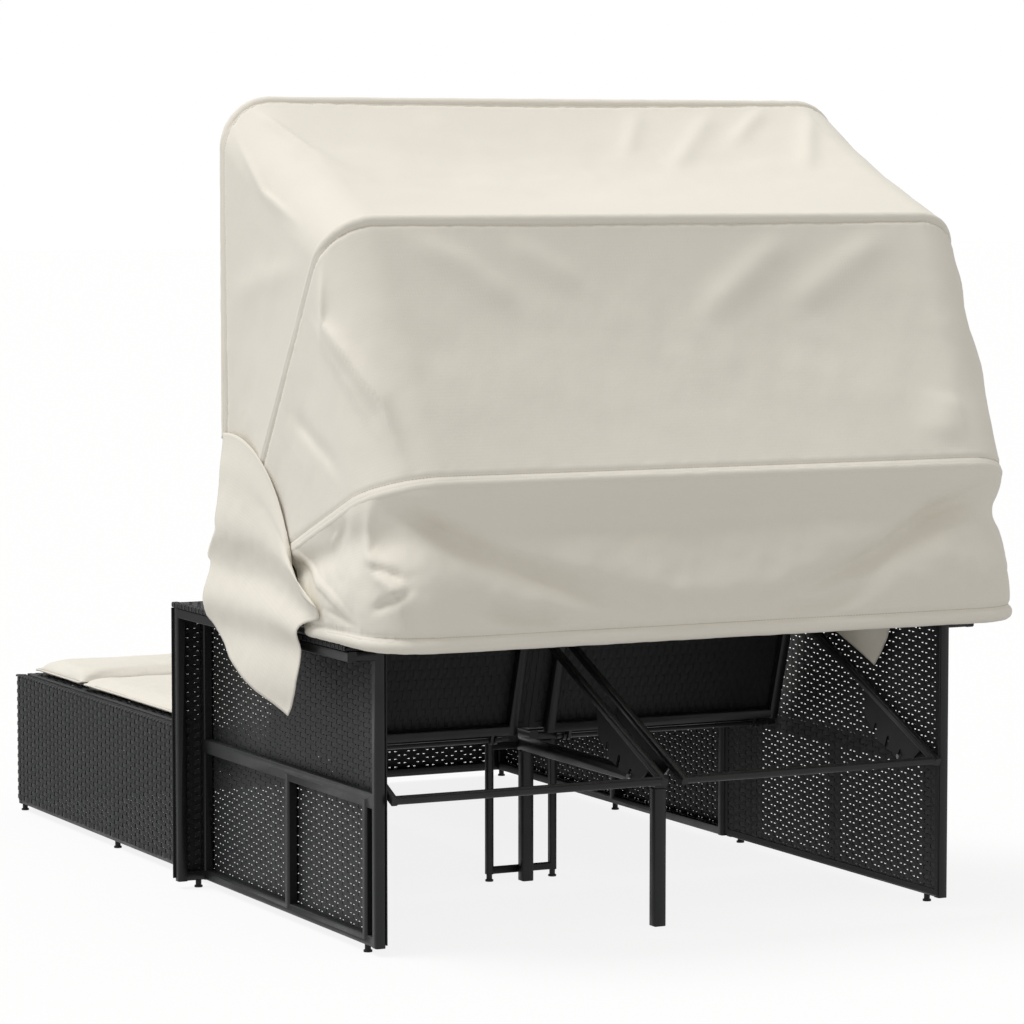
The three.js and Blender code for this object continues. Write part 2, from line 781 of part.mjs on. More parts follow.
// A fork on the arm top that holds the ends of the three bows.
function canopyBracket() {
  const inner = bowHalfWidth - 2 * bowPitch - bowLug / 2 - bracketGap;
  const outer = bowHalfWidth + bowLug / 2 + bracketGap;
  const base = armHeight + touchGap;
  const ear = (x) => link(x, x + bracketThickness, [pivotY, pivotHeight], [pivotY, base + bracketHalfLength], bracketHalfLength);
  const body = join([
    ear(inner - bracketThickness),
    ear(outer),
    block(
      [inner - bracketThickness, pivotY - bracketHalfLength, base],
      [outer + bracketThickness, pivotY + bracketHalfLength, base + bracketThickness],
    ),
  ]);
  const below = block(
    [inner - tube, pivotY - tube, base - bracketHalfLength],
    [outer + tube, pivotY + tube, base],
  );
  const bore = pin(inner - tube, outer + tube, pivotY, pivotHeight, boltRadius + touchGap);
  return cut(body, [below, bore]);
}

function pivotBolt() {
  const inner = bowHalfWidth - 2 * bowPitch - bowLug / 2 - bracketGap - bracketThickness - touchGap;
  const outer = bowHalfWidth + bowLug / 2 + bracketGap + bracketThickness + touchGap;
  return join([
    pin(inner - boltHead / 2, outer + boltHead / 2, pivotY, pivotHeight, boltRadius),
    pin(inner - boltHead, inner, pivotY, pivotHeight, boltHeadRadius, 6),
    pin(outer, outer + boltHead, pivotY, pivotHeight, boltHeadRadius, 12),
  ]);
}

// A closed sheet over a grid of points; its faces look along across x down.
function sheet(pointAt, acrossShares, downShares, thickness = clothThickness) {
  const columns = acrossShares.length;
  const rows = downShares.length;
  const delta = 1e-3;
  const places = [];
  for (const side of [0.5, -0.5]) {
    for (const down of downShares) {
      for (const across of acrossShares) {
        const middle = pointAt(across, down);
        const alongAcross = pointAt(across + delta, down).sub(pointAt(across - delta, down));
        const alongDown = pointAt(across, down + delta).sub(pointAt(across, down - delta));
        const normal = alongAcross.cross(alongDown).normalize();
        places.push(...middle.addScaledVector(normal, side * thickness));
      }
    }
  }
  const at = (layer, row, column) => (layer * rows + row) * columns + column;
  const faces = [];
  const quad = (a, b, c, d) => faces.push(a, b, c, a, c, d);
  for (let row = 0; row < rows - 1; row += 1) {
    for (let column = 0; column < columns - 1; column += 1) {
      quad(at(0, row, column), at(0, row, column + 1), at(0, row + 1, column + 1), at(0, row + 1, column));
      quad(at(1, row, column), at(1, row + 1, column), at(1, row + 1, column + 1), at(1, row, column + 1));
    }
  }
  for (let column = 0; column < columns - 1; column += 1) {
    quad(at(0, 0, column), at(1, 0, column), at(1, 0, column + 1), at(0, 0, column + 1));
    quad(at(0, rows - 1, column), at(0, rows - 1, column + 1), at(1, rows - 1, column + 1), at(1, rows - 1, column));
  }
  for (let row = 0; row < rows - 1; row += 1) {
    quad(at(0, row, 0), at(0, row + 1, 0), at(1, row + 1, 0), at(1, row, 0));
    quad(
      at(0, row, columns - 1),
      at(1, row, columns - 1),
      at(1, row + 1, columns - 1),
      at(0, row + 1, columns - 1),
    );
  }
  const geometry = new THREE.BufferGeometry();
  geometry.setAttribute('position', new THREE.BufferAttribute(new Float32Array(places), 3));
  geometry.setIndex(faces);
  geometry.computeVertexNormals();
  return geometry;
}

// Point on a bow's cloth line. The share runs from -1 on the right leg over the top to 1 on the left.
function bowLine(settings, share, lift = clothLift) {
  const part = Math.abs(share);
  const width = bowHalfWidth + lift;
  const reach = settings.reach + lift;
  const corner = settings.corner + lift;
  let x = 0;
  let r = reach;
  if (part > legShare) {
    x = width;
    r = reach - corner + (settings.sleeve - reach + corner) * ((part - legShare) / (1 - legShare));
  } else if (part > topShare) {
    const turn = (Math.PI / 2) * ((legShare - part) / (legShare - topShare));
    x = width - corner + corner * Math.cos(turn);
    r = reach - corner + corner * Math.sin(turn);
  } else {
    x = (width - corner) * (part / topShare);
  }
  const lean = THREE.MathUtils.degToRad(settings.lean);
  return new THREE.Vector3(Math.sign(share) * x, pivotY + r * Math.sin(lean), pivotHeight + r * Math.cos(lean));
}

// Point on the hem's cloth line, with the same shares; the legs run forward along the arms.
function hemLine(share, lift = clothLift) {
  const part = Math.abs(share);
  const width = bowHalfWidth + lift;
  const rear = hemRearY + lift;
  const corner = hemCorner + lift;
  const front = pivotY + hemOpening;
  let x = 0;
  let y = rear;
  if (part > legShare) {
    x = width;
    y = rear - corner + (front - rear + corner) * ((part - legShare) / (1 - legShare));
  } else if (part > topShare) {
    const turn = (Math.PI / 2) * ((legShare - part) / (legShare - topShare));
    x = width - corner + corner * Math.cos(turn);
    y = rear - corner + corner * Math.sin(turn);
  } else {
    x = (width - corner) * (part / topShare);
  }
  return new THREE.Vector3(Math.sign(share) * x, y, hemZ);
}

// How strongly a fold shows between two held edges, from 0 at either edge to 1 between them.
function between(down) {
  return Math.sin(Math.PI * Math.min(Math.max(down, 0), 1));
}

// The panels sag between the bows' top bars, and hardly at all down their sides.
function bowPanel(upper, lower, sag) {
  return (share, down) => {
    const point = bowLine(upper, share).lerp(bowLine(lower, share), down);
    const centre = new THREE.Vector3(0, pivotY, pivotHeight);
    const inward = centre.sub(point).setX(point.x * -sideLean).normalize();
    const top = Math.max(1 - (share / topShare) ** 2, 0);
    const wave = panelWave * Math.sin(panelWaves * Math.PI * share);
    return point.addScaledVector(inward, between(down) * (sag * top + wave));
  };
}

function skirtPoint(share, down) {
  const point = bowLine(bows.seam, share).lerp(hemLine(share), down);
  const outward = new THREE.Vector3(point.x * sideLean, point.y - pivotY, 0).normalize();
  const fold = skirtFold * Math.sin(skirtFolds * Math.PI * share) * between(down);
  const drawIn = skirtDrawIn * between(down);
  return point.addScaledVector(outward, fold - drawIn);
}

const acrossShares = [
  ...evenShares(-1, -legShare, 3),
  ...evenShares(-legShare, -topShare, 5),
  ...evenShares(-topShare, topShare, 10),
  ...evenShares(topShare, legShare, 5),
  ...evenShares(legShare, 1, 3),
  1,
];

// Shares from one value up to, but without, the next.
function evenShares(from, to, count) {
  return Array.from({ length: count }, (_, i) => from + ((to - from) * i) / count);
}

function frontPanel() {
  return sheet(bowPanel(bows.front, bows.middle, panelSag), acrossShares, [...evenShares(0, 1, 5), 1]);
}

// The rear panel starts a seam's width below the front one, so that they don't meet.
function rearPanel() {
  const seam = panelSeamGap / (bows.middle.reach * Math.sin(THREE.MathUtils.degToRad(bows.middle.lean)));
  return sheet(bowPanel(bows.middle, bows.seam, panelSag), acrossShares, [...evenShares(seam, 1, 5), 1]);
}

function skirt() {
  return sheet(skirtPoint, acrossShares, [...evenShares(skirtSeamGap / pivotHeight, 1, 5), 1]);
}

// The loose corner of the canopy's side, hung from the bows' legs: outside the left arm
// and inside the right one. Across runs from the front to the rear, down from the bows to
// the tip, and the two side edges bulge.
function flapPoint(side, topX, lowX, frontDrop, tipDrop) {
  const lowFront = new THREE.Vector2(flapFrontReach, -frontDrop);
  const tip = new THREE.Vector2(flapTipReach, -tipDrop);
  return (across, down) => {
    const lean = THREE.MathUtils.degToRad(bows.seam.lean) * across;
    const r = bows.front.sleeve - clothLift + (bows.seam.sleeve - bows.front.sleeve) * across;
    const top = new THREE.Vector2(r * Math.sin(lean), r * Math.cos(lean));
    const at = top.lerp(lowFront.clone().lerp(tip, across), down);
    at.x += between(down) * (flapRearBulge * across - flapFrontBulge * (1 - across));
    const wave = flapFold * Math.sin(flapFolds * Math.PI * (across + down / 3));
    const inset = topX + (lowX - topX) * Math.min(down / flapTurnShare, 1);
    return new THREE.Vector3(side * (inset + wave), pivotY + at.x, pivotHeight + at.y);
  };
}

function outerFlap() {
  const x = bowHalfWidth + bowLug / 2 + bracketGap + bracketThickness + touchGap + boltHead;
  const middle = x + flapClearance + flapFold + clothThickness / 2;
  const pointAt = flapPoint(1, middle, middle, outerFlapFrontDrop, outerFlapDrop);
  return sheet(pointAt, [...evenShares(0, 1, 9), 1], [...evenShares(0, 1, 6), 1]);
}

function innerFlap() {
  const x = bowHalfWidth - 2 * bowPitch - bowLug / 2 - bracketGap - bracketThickness - boltHead;
  const top = x - flapFoldGap - flapFold;
  const low = armHalfWidth - flapFoldGap - flapFold;
  const frontDrop = pivotHeight - strutTopAt(pivotY + flapFrontReach) - innerFlapFrontGap;
  const tipDrop = pivotHeight - strutTopAt(pivotY + flapTipReach) - innerFlapTipGap;
  const pointAt = flapPoint(-1, top, low, frontDrop, tipDrop);
  return sheet((across, down) => pointAt(1 - across, down), [...evenShares(0, 1, 9), 1], [...evenShares(0, 1, 6), 1]);
}

// A cushion with a flat underside, a seam round its edge, a crown, and sides that draw in.
function cushion(low, high, height, pull = cushionPull) {
  const columns = 10;
  const rows = 10;
  const width = (high[0] - low[0]) / 2;
  const length = (high[1] - low[1]) / 2;
  const centre = [(low[0] + high[0]) / 2, (low[1] + high[1]) / 2];
  const places = [];
  const spread = (i, count) => Math.sin((Math.PI / 2) * ((2 * i) / count - 1));
  const edgeShare = (value, size) => Math.min((1 - Math.abs(value)) * (size / cushionCorner), 1);
  for (const top of [true, false]) {
    for (let row = 0; row <= rows; row += 1) {
      for (let column = 0; column <= columns; column += 1) {
        const u = spread(column, columns);
        const v = spread(row, rows);
        const x = centre[0] + u * (width - pull * (1 - v * v));
        const y = centre[1] + v * (length - pull * (1 - u * u));
        const rise = Math.sqrt(edgeShare(u, width) * edgeShare(v, length));
        const round = Math.sqrt(rise * (2 - rise));
        const crown = 1 - crownShare + crownShare * (1 - u * u) * (1 - v * v);
        const z = top ? cushionSeam + (height - cushionSeam) * round * crown : cushionSeam * (1 - round);
        places.push(x, y, low[2] + z);
      }
    }
  }
  const at = (layer, row, column) => (layer * (rows + 1) + row) * (columns + 1) + column;
  const faces = [];
  for (let row = 0; row < rows; row += 1) {
    for (let column = 0; column < columns; column += 1) {
      const ring = [[row, column], [row, column + 1], [row + 1, column + 1], [row + 1, column]];
      const [a, b, c, d] = ring.map(([r, k]) => at(0, r, k));
      const [e, f, g, h] = ring.map(([r, k]) => at(1, r, k));
      faces.push(a, b, c, a, c, d, e, g, f, e, h, g);
    }
  }
  const geometry = new THREE.BufferGeometry();
  geometry.setAttribute('position', new THREE.BufferAttribute(new Float32Array(places), 3));
  geometry.setIndex(faces);
  return finished(geometry);
}

// Arms
const pocket = restPinPocket();
addPair('arm_frame', cut(armFrame(), [pocket]), steelPaint);
addPair('arm_inner_skin', armInnerSkin(), caneFinish);
addPair('arm_front_skin', armFrontSkin(), caneFinish);
addPair('arm_top_skin', armTopSkin(), caneFinish);

// Low part and seat
addPair('low_side_frame', lowSideFrame(), steelPaint);
addPair('low_side_skin', lowSideSkin(), caneFinish);
addPiece('foot_end_frame', footEndFrame(), steelPaint);
addPiece('foot_end_skin', footEndSkin(), caneFinish);
addPair('seat_frame', seatFrame(), steelPaint);
addPair('seat_skin', seatSkin(), caneFinish);
addPair('backrest_hinge_rod', hingeRod(), zincFinish);

// Centre support
addPiece('centre_stand', centreStand(), steelPaint);
addPiece('centre_beam', centreBeam(), steelPaint);
addPiece('centre_leg_front', centreLeg(standY + (standBar + legTube) / 2 + legClearance), steelPaint);
addPiece('centre_leg_rear', centreLeg(rearY - rearLegSetback), steelPaint);
addPiece('centre_rest_pin', centreRestPin(), zincFinish);
addPair('side_rest_pin', sideRestPin(), zincFinish);

// Feet
const postMiddle = postInner + tube / 2;
const lowMiddle = lowInner + tube / 2;
addPair('rear_foot', foot(postMiddle, rearY - rearFootSetback), plasticFinish);
addPair('arm_front_foot', foot(postMiddle + tube, armFrontY + cane + tube / 2), plasticFinish);
addPair('middle_foot', foot(lowMiddle, frontY + middlePostSetback), plasticFinish);
addPair('front_foot', foot(lowMiddle, frontY + tube), plasticFinish);

// Backrests and their struts
for (const [side, turnOver] of [['left', (g) => g], ['right', mirrored]]) {
  const backrest = new THREE.Group();
  backrest.position.set(0, hingeY, hingeHeight);
  backrest.rotation.x = THREE.MathUtils.degToRad(backrestAngle);
  model.add(backrest);
  addPiece(`backrest_frame_${side}`, turnOver(backrestFrame()), steelPaint, backrest);
  addPiece(`backrest_skin_${side}`, turnOver(backrestSkin()), caneFinish, backrest);
  const under = tube / 2 + cane + touchGap;
  const backCushion = cushion(
    [backSkinGap, backCushionStart, under],
    [backrestOuter, backrestLength, under],
    backCushionHeight,
    backCushionPull,
  );
  addPiece(`back_cushion_${side}`, turnOver(backCushion), cushionFinish, backrest);
  const support = new THREE.Group();
  const [y, z] = strutPivot();
  support.position.set(0, y, z);
  support.rotation.x = -strutSlope();
  model.add(support);
  addPiece(`strut_${side}`, turnOver(strut()), steelPaint, support);
}

// Canopy
addPair('canopy_bracket', canopyBracket(), steelPaint);
addPair('pivot_bolt', pivotBolt(), zincFinish);
addPiece('hem_bow', hemBow(), steelPaint);
addPiece('seam_bow', bow(bows.seam), steelPaint);
addPiece('middle_bow', bow(bows.middle), steelPaint);
addPiece('front_bow', bow(bows.front), steelPaint);
addPiece('canopy_front_panel', frontPanel(), canopyFinish);
addPiece('canopy_rear_panel', rearPanel(), canopyFinish);
addPiece('canopy_skirt', skirt(), canopyFinish);
addPiece('canopy_flap_left', outerFlap(), canopyFinish);
addPiece('canopy_flap_right', innerFlap(), canopyFinish);

// Seat and foot cushions
const cushionInner = cushionGap;
const cushionOuter = deckOuter;
const footCushionRear = frontY + tube + footCushionLength;
const cushionBase = panelHeight + touchGap;
addPair('foot_cushion', cushion(
  [cushionInner, frontY + tube, cushionBase],
  [cushionOuter, footCushionRear, cushionBase],
  footCushionHeight,
), cushionFinish);
addPair('seat_cushion', cushion(
  [cushionInner, footCushionRear + cushionGap, cushionBase],
  [cushionOuter, hingeY - backCushionStart, cushionBase],
  seatCushionHeight,
), cushionFinish);

export default model;
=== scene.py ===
# Looks of the outdoor daybed with its canopy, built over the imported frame.
# Metres, +Z up, the foot end looks towards -Y, +X is the sitter's left.
import math

import bmesh
import bpy
from mathutils import Matrix, Vector, noise
from mathutils.bvhtree import BVHTree


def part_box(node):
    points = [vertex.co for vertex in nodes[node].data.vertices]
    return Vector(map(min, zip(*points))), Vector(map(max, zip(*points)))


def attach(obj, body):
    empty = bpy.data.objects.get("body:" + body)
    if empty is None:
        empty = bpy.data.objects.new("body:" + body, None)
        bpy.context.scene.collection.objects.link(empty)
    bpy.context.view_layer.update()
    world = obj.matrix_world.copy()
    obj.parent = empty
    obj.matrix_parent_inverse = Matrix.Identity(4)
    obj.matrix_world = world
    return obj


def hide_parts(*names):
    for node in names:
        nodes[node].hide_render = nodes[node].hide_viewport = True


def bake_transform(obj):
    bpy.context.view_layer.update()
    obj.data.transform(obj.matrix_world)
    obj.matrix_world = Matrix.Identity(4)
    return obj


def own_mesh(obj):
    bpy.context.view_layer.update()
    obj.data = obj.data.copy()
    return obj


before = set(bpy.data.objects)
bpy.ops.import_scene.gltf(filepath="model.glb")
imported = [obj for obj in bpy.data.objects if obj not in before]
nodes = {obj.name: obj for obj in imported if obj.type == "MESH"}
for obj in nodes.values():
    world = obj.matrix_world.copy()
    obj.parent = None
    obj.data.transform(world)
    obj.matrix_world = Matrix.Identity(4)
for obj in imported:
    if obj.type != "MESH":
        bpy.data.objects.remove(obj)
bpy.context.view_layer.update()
sides = (("Left", "left", 1), ("Right", "right", -1))
white = (1, 1, 1, 1)
print("frame loaded:", len(nodes), "nodes")


# Node trees
class Wires:
    # makes and links the nodes of one tree

    def __init__(self, tree):
        self.tree = tree

    def put(self, socket, value):
        value = getattr(value, "socket", value)
        if isinstance(value, bpy.types.NodeSocket):
            self.tree.links.new(value, socket)
        else:
            socket.default_value = value

    def node(self, kind, wires=None, **settings):
        made = self.tree.nodes.new(kind)
        for key, value in settings.items():
            setattr(made, key, value)
        for key, value in (wires or {}).items():
            self.put(made.inputs[key], value)
        return made

    def maths(self, operation, first, second=0.0):
        made = self.node("ShaderNodeMath", {0: first, 1: second}, operation=operation)
        return Amount(self, made.outputs[0])


class Amount:
    # a number in a node tree, so that sums read as sums

    def __init__(self, wires, socket):
        self.wires, self.socket = wires, socket

    def __add__(self, other):
        return self.wires.maths("ADD", self, other)

    def __sub__(self, other):
        return self.wires.maths("SUBTRACT", self, other)

    def __mul__(self, other):
        return self.wires.maths("MULTIPLY", self, other)

    def __truediv__(self, other):
        return self.wires.maths("DIVIDE", self, other)


# Camera, lamps and floor
camera = {"place": (3.79328, 7.89322, 1.47132), "turn": 26.26333, "dip": 4.764586, "lens": 146.84, "sensor": 36}
light = {
    "world": 0.60, "skyTint": (1.0, 0.97, 0.94, 1), "sun": 2.1, "sunFrom": (0.42, -0.20, 0.88), "sunSize": 32,
    "floorReach": 60, "floorWhite": 0.86, "floorSeen": 0.82, "floorBounce": 0.55,
}


def placed(name, data):
    item = bpy.data.objects.new(name, data)
    bpy.context.scene.collection.objects.link(item)
    return item


def aimed(item, direction, axis):
    item.rotation_mode = "QUATERNION"
    item.rotation_quaternion = Vector(direction).to_track_quat(axis, "Y")


def makeCamera():
    data = bpy.data.cameras.new("photoCamera")
    data.sensor_width = camera["sensor"]
    data.lens = camera["lens"]
    data.clip_end = 200
    item = placed("photoCamera", data)
    turn, dip = math.radians(camera["turn"]), math.radians(camera["dip"])
    item.location = camera["place"]
    aimed(item, (-math.sin(turn) * math.cos(dip), -math.cos(turn) * math.cos(dip), -math.sin(dip)), "-Z")
    bpy.context.scene.camera = item


def seenRay(wires):
    # 1 for what the camera sees, straight, mirrored or through glass
    path = wires.node("ShaderNodeLightPath")
    total = path.outputs["Is Camera Ray"]
    for label in ("Is Glossy Ray", "Is Transmission Ray"):
        total = wires.maths("MAXIMUM", total, path.outputs[label])
    return total


def makeLamps():
    scene = bpy.context.scene
    scene.view_settings.view_transform = "Standard"
    scene.world = bpy.data.worlds.new("studio")
    scene.world.use_nodes = True
    scene.world.node_tree.nodes.clear()
    w = Wires(scene.world.node_tree)
    lit = w.node("ShaderNodeBackground", {"Color": light["skyTint"], "Strength": light["world"]})
    shown = w.node("ShaderNodeBackground", {"Color": white})
    mix = w.node("ShaderNodeMixShader", {0: seenRay(w), 1: lit.outputs[0], 2: shown.outputs[0]})
    w.node("ShaderNodeOutputWorld", {0: mix.outputs[0]})
    data = bpy.data.lights.new("softSun", "SUN")
    data.energy = light["sun"]
    data.angle = math.radians(light["sunSize"])
    aimed(placed("softSun", data), light["sunFrom"], "Z")


def makeFloor():
    mesh = bpy.data.meshes.new("floor")
    reach = light["floorReach"]
    mesh.from_pydata([(x * reach, y * reach, 0) for x, y in ((-1, -1), (1, -1), (1, 1), (-1, 1))], [], [(0, 1, 2, 3)])
    item = placed("floor", mesh)
    material = bpy.data.materials.new("paleFloor")
    material.use_nodes = True
    material.node_tree.nodes.clear()
    w = Wires(material.node_tree)
    seen = seenRay(w)
    tone = w.node("ShaderNodeMapRange", {"Value": seen, "To Min": light["floorBounce"], "To Max": light["floorSeen"]})
    matt = w.node("ShaderNodeBsdfDiffuse", {"Color": tone.outputs["Result"]})
    glow = w.node("ShaderNodeEmission", {"Color": white})
    share = w.maths("MULTIPLY", seen, light["floorWhite"])
    mix = w.node("ShaderNodeMixShader", {0: share, 1: matt.outputs[0], 2: glow.outputs[0]})
    w.node("ShaderNodeOutputMaterial", {0: mix.outputs[0]})
    mesh.materials.append(material)


makeCamera()
makeLamps()
makeFloor()
print("camera, lamps and floor made")


# Finishes
def linear(red, green, blue):
    def one(value):
        value /= 255
        return value / 12.92 if value <= 0.04045 else ((value + 0.055) / 1.055) ** 2.4
    return (one(red), one(green), one(blue), 1)


def dimmed(colour, share):
    return tuple(c * share for c in colour[:3]) + (1,)


class Finish(Wires):
    # a material and its Principled shader

    def __init__(self, name):
        self.material = bpy.data.materials.new(name)
        self.material.use_nodes = True
        super().__init__(self.material.node_tree)

    def coords(self, output, scale=(1, 1, 1), tilt=0.0):
        source = self.node("ShaderNodeTexCoord")
        return self.node("ShaderNodeMapping", {
            "Vector": source.outputs[output], "Scale": scale, "Rotation": (math.radians(tilt), 0, 0)}).outputs["Vector"]

    def noise(self, place, scale, detail=3.0, roughness=0.5):
        return self.node("ShaderNodeTexNoise", {
            "Vector": place, "Scale": scale, "Detail": detail, "Roughness": roughness}).outputs["Fac"]

    def ramp(self, value, stops):
        made = self.node("ShaderNodeValToRGB", {"Fac": value})
        for element, (at, colour) in zip(made.color_ramp.elements, stops):
            element.position = at
            element.color = colour
        return made.outputs["Color"]

    def grey(self, value, low, high):
        return self.ramp(value, [(0.3, (low, low, low, 1)), (0.7, (high, high, high, 1))])

    def bump(self, height, strength, distance, before=None):
        made = self.node("ShaderNodeBump", {"Height": height, "Strength": strength, "Distance": distance})
        if before is not None:
            self.put(made.inputs["Normal"], before)
        return made.outputs["Normal"]

    def feed(self, values):
        for label, value in values.items():
            self.put(self.tree.nodes["Principled BSDF"].inputs[label], value)
        return self.material


cottonLook = {
    "stops": (0.25, 0.75), "detail": 4, "waves": 20, "distortion": 0.4, "bump": 0.25, "bumpDepth": 0.3,
    "crumple": (5, 0.55), "crumpleReach": 0.02, "rough": (0.82, 0.94), "sheenRoughness": 0.5, "specular": 0.2,
}
caneLook = {
    "streaks": (18, 620, 1), "streakDetail": (3, 0.6), "broad": 9, "shares": (0.65, 0.35), "stops": (0.3, 0.72),
    "rough": (0.48, 0.66), "bump": (0.35, 0.0004), "specular": 0.22,
}
paintLook = {
    "broad": (14, 4), "scuff": (60, 8, 0.7), "peel": (900, 2), "stops": (0.62, 0.78), "mottle": 0.25,
    "darkest": 0.7, "rough": (-0.06, 0.08), "bump": (0.12, 0.0003), "specular": 0.3,
}
metalLook = {
    "grain": (30, 600, 600), "stops": (0.3, 0.7), "dimmed": 0.75, "rough": (0.28, 0.45), "bump": (0.1, 0.0002),
    "metallic": 0.9,
}


def clothFinish(name, colour, settings):
    f, look = Finish(name), cottonLook
    place = f.coords("Object")
    # a remeshed cover has no UVs: its weave lies midway between level and the backs' slope
    weave = f.coords("Object", *settings["slant"]) if "slant" in settings else f.coords("UV")
    broad = f.noise(place, settings["mottle"], look["detail"])
    wave = {"Vector": weave, "Scale": 1 / settings["thread"] / look["waves"], "Distortion": look["distortion"]}
    bands = [f.node("ShaderNodeTexWave", wave, wave_type="BANDS", bands_direction=direction).outputs["Fac"]
             for direction in ("X", "Y")]
    crumple = f.noise(place, settings["crumple"], *look["crumple"])
    soft = f.bump(crumple, settings["crumpleDepth"], look["crumpleReach"])
    return f.feed({
        "Base Color": f.ramp(broad, zip(look["stops"], (dimmed(colour, settings["shade"]), colour))),
        "Normal": f.bump(f.maths("MULTIPLY", *bands), look["bump"], settings["thread"] * look["bumpDepth"], soft),
        "Roughness": f.grey(broad, *look["rough"]), "Sheen Weight": settings["sheen"],
        "Sheen Roughness": look["sheenRoughness"], "Specular IOR Level": look["specular"]})


def caneFinish(name, dark, pale):
    f, look = Finish(name), caneLook
    streaks = f.noise(f.coords("UV", look["streaks"]), 1.0, *look["streakDetail"])
    broad = f.noise(f.coords("Object"), look["broad"])
    streakShare, broadShare = look["shares"]
    mixed = f.maths("MULTIPLY", streaks, streakShare) + f.maths("MULTIPLY", broad, broadShare)
    return f.feed({
        "Base Color": f.ramp(mixed, zip(look["stops"], (dark, pale))), "Roughness": f.grey(streaks, *look["rough"]),
        "Normal": f.bump(streaks, *look["bump"]), "Specular IOR Level": look["specular"]})


def paintFinish(name, colour, wear, roughness):
    f, look = Finish(name), paintLook
    place = f.coords("Object")
    broad = f.noise(place, *look["broad"])
    worn = f.ramp(f.noise(place, *look["scuff"]), zip(look["stops"], (colour, wear)))
    shade = f.node("ShaderNodeMix", {"Factor": look["mottle"], "A": worn, "B": f.grey(broad, look["darkest"], 1.0)},
                   data_type="RGBA", blend_type="MULTIPLY")
    return f.feed({
        "Base Color": shade.outputs["Result"],
        "Roughness": f.grey(broad, *[roughness + more for more in look["rough"]]),
        "Normal": f.bump(f.noise(place, *look["peel"]), *look["bump"]), "Specular IOR Level": look["specular"]})


def metalFinish(name, colour):
    f, look = Finish(name), metalLook
    grain = f.noise(f.coords("Object", look["grain"]), 1.0)
    return f.feed({
        "Base Color": f.ramp(grain, zip(look["stops"], (dimmed(colour, look["dimmed"]), colour))),
        "Roughness": f.grey(grain, *look["rough"]), "Normal": f.bump(grain, *look["bump"]),
        "Metallic": look["metallic"]})


finishes = {
    "canopy": clothFinish("canopyCloth", linear(228, 224, 213), {
        "thread": 0.0011, "mottle": 2.5, "shade": 0.965, "crumple": 7, "crumpleDepth": 0.10, "sheen": 0.12}),
    "cushion": clothFinish("cushionCloth", linear(224, 220, 210), {
        "thread": 0.0013, "mottle": 4, "shade": 0.95, "crumple": 11, "crumpleDepth": 0.2, "sheen": 0.15,
        "slant": ((1, 1.25, 1.25), -36.5)}),
    "thread": clothFinish("sewingThread", linear(206, 200, 187), {
        "thread": 0.0006, "mottle": 30, "shade": 0.9, "crumple": 90, "crumpleDepth": 0.1, "sheen": 0.1}),
    # one cane in two tones: wovenCane is the darker copy, painted shade for the sunlit low sides, and the arms' copy is
    # lighter, painted light for the arms lying in the canopy's shade
    "cane": caneFinish("wovenCane", linear(16, 17, 18), linear(41, 42, 44)),
    "armCane": caneFinish("wovenArmCane", linear(22, 23, 24), linear(57, 58, 60)),
    "steel": paintFinish("blackSteel", linear(27, 28, 29), linear(50, 51, 53), 0.42),
    "plastic": paintFinish("footPlastic", linear(26, 26, 27), linear(48, 48, 49), 0.6),
    "zinc": metalFinish("zincPin", linear(150, 152, 155)),
}
print("finishes made:", len(finishes))


# Helpers for finished pieces
def newPiece(name, mesh, finish, body=None, replaced=()):
    item = placed(name, mesh)
    mesh.name = name
    mesh.materials.clear()
    mesh.materials.append(finishes[finish])
    if replaced:
        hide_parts(*replaced)
    if body:
        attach(item, body)
    return item


def meshFrom(work, name):
    mesh = bpy.data.meshes.new(name)
    work.to_mesh(mesh)
    work.free()
    return mesh


def smooth(mesh, limit=180):
    mesh.polygons.foreach_set("use_smooth", [True] * len(mesh.polygons))
    if limit < 180:
        work = bmesh.new()
        work.from_mesh(mesh)
        for edge in work.edges:
            edge.smooth = len(edge.link_faces) == 2 and edge.calc_face_angle(0) < math.radians(limit)
        work.to_mesh(mesh)
        work.free()
    return mesh


def thicken(item, thickness):
    modifier = item.modifiers.new("thickness", "SOLIDIFY")
    modifier.thickness = thickness
    modifier.offset = 0


def easeEdges(item, width, limit=30):
    modifier = item.modifiers.new("easedEdges", "BEVEL")
    modifier.width = width
    modifier.segments = 2
    modifier.limit_method = "ANGLE"
    modifier.angle_limit = math.radians(limit)


def sideMesh(mesh, sign):
    # the left side's mesh, or a mirrored copy of it for the right
    if sign > 0:
        return mesh
    copy = mesh.copy()
    copy.transform(Matrix.Scale(-1, 4, (1, 0, 0)))
    copy.flip_normals()
    return copy


def gridMesh(name, points, uvs, closed=False):
    # rows of points become one smooth sheet
    rows, columns = len(points), len(points[0])
    faces = []
    for r in range(rows - 1):
        for c in range(columns if closed else columns - 1):
            n = (c + 1) % columns
            faces.append((r * columns + c, r * columns + n, (r + 1) * columns + n, (r + 1) * columns + c))
    mesh = bpy.data.meshes.new(name)
    mesh.from_pydata([p for row in points for p in row], [], faces)
    layer = mesh.uv_layers.new(name="UVMap")
    spots = [u for row in uvs for u in row]
    for loop in mesh.loops:
        layer.data[loop.index].uv = spots[loop.vertex_index]
    return smooth(mesh)


def pathMesh(points, closed=False):
    mesh = bpy.data.meshes.new("path")
    edges = [(i, i + 1) for i in range(len(points) - 1)]
    mesh.from_pydata(points, edges + [(len(points) - 1, 0)] * closed, [])
    return mesh


def steps(first, last, count):
    # evenly spaced values, both ends included
    return [first + (last - first) * i / count for i in range(count + 1)]


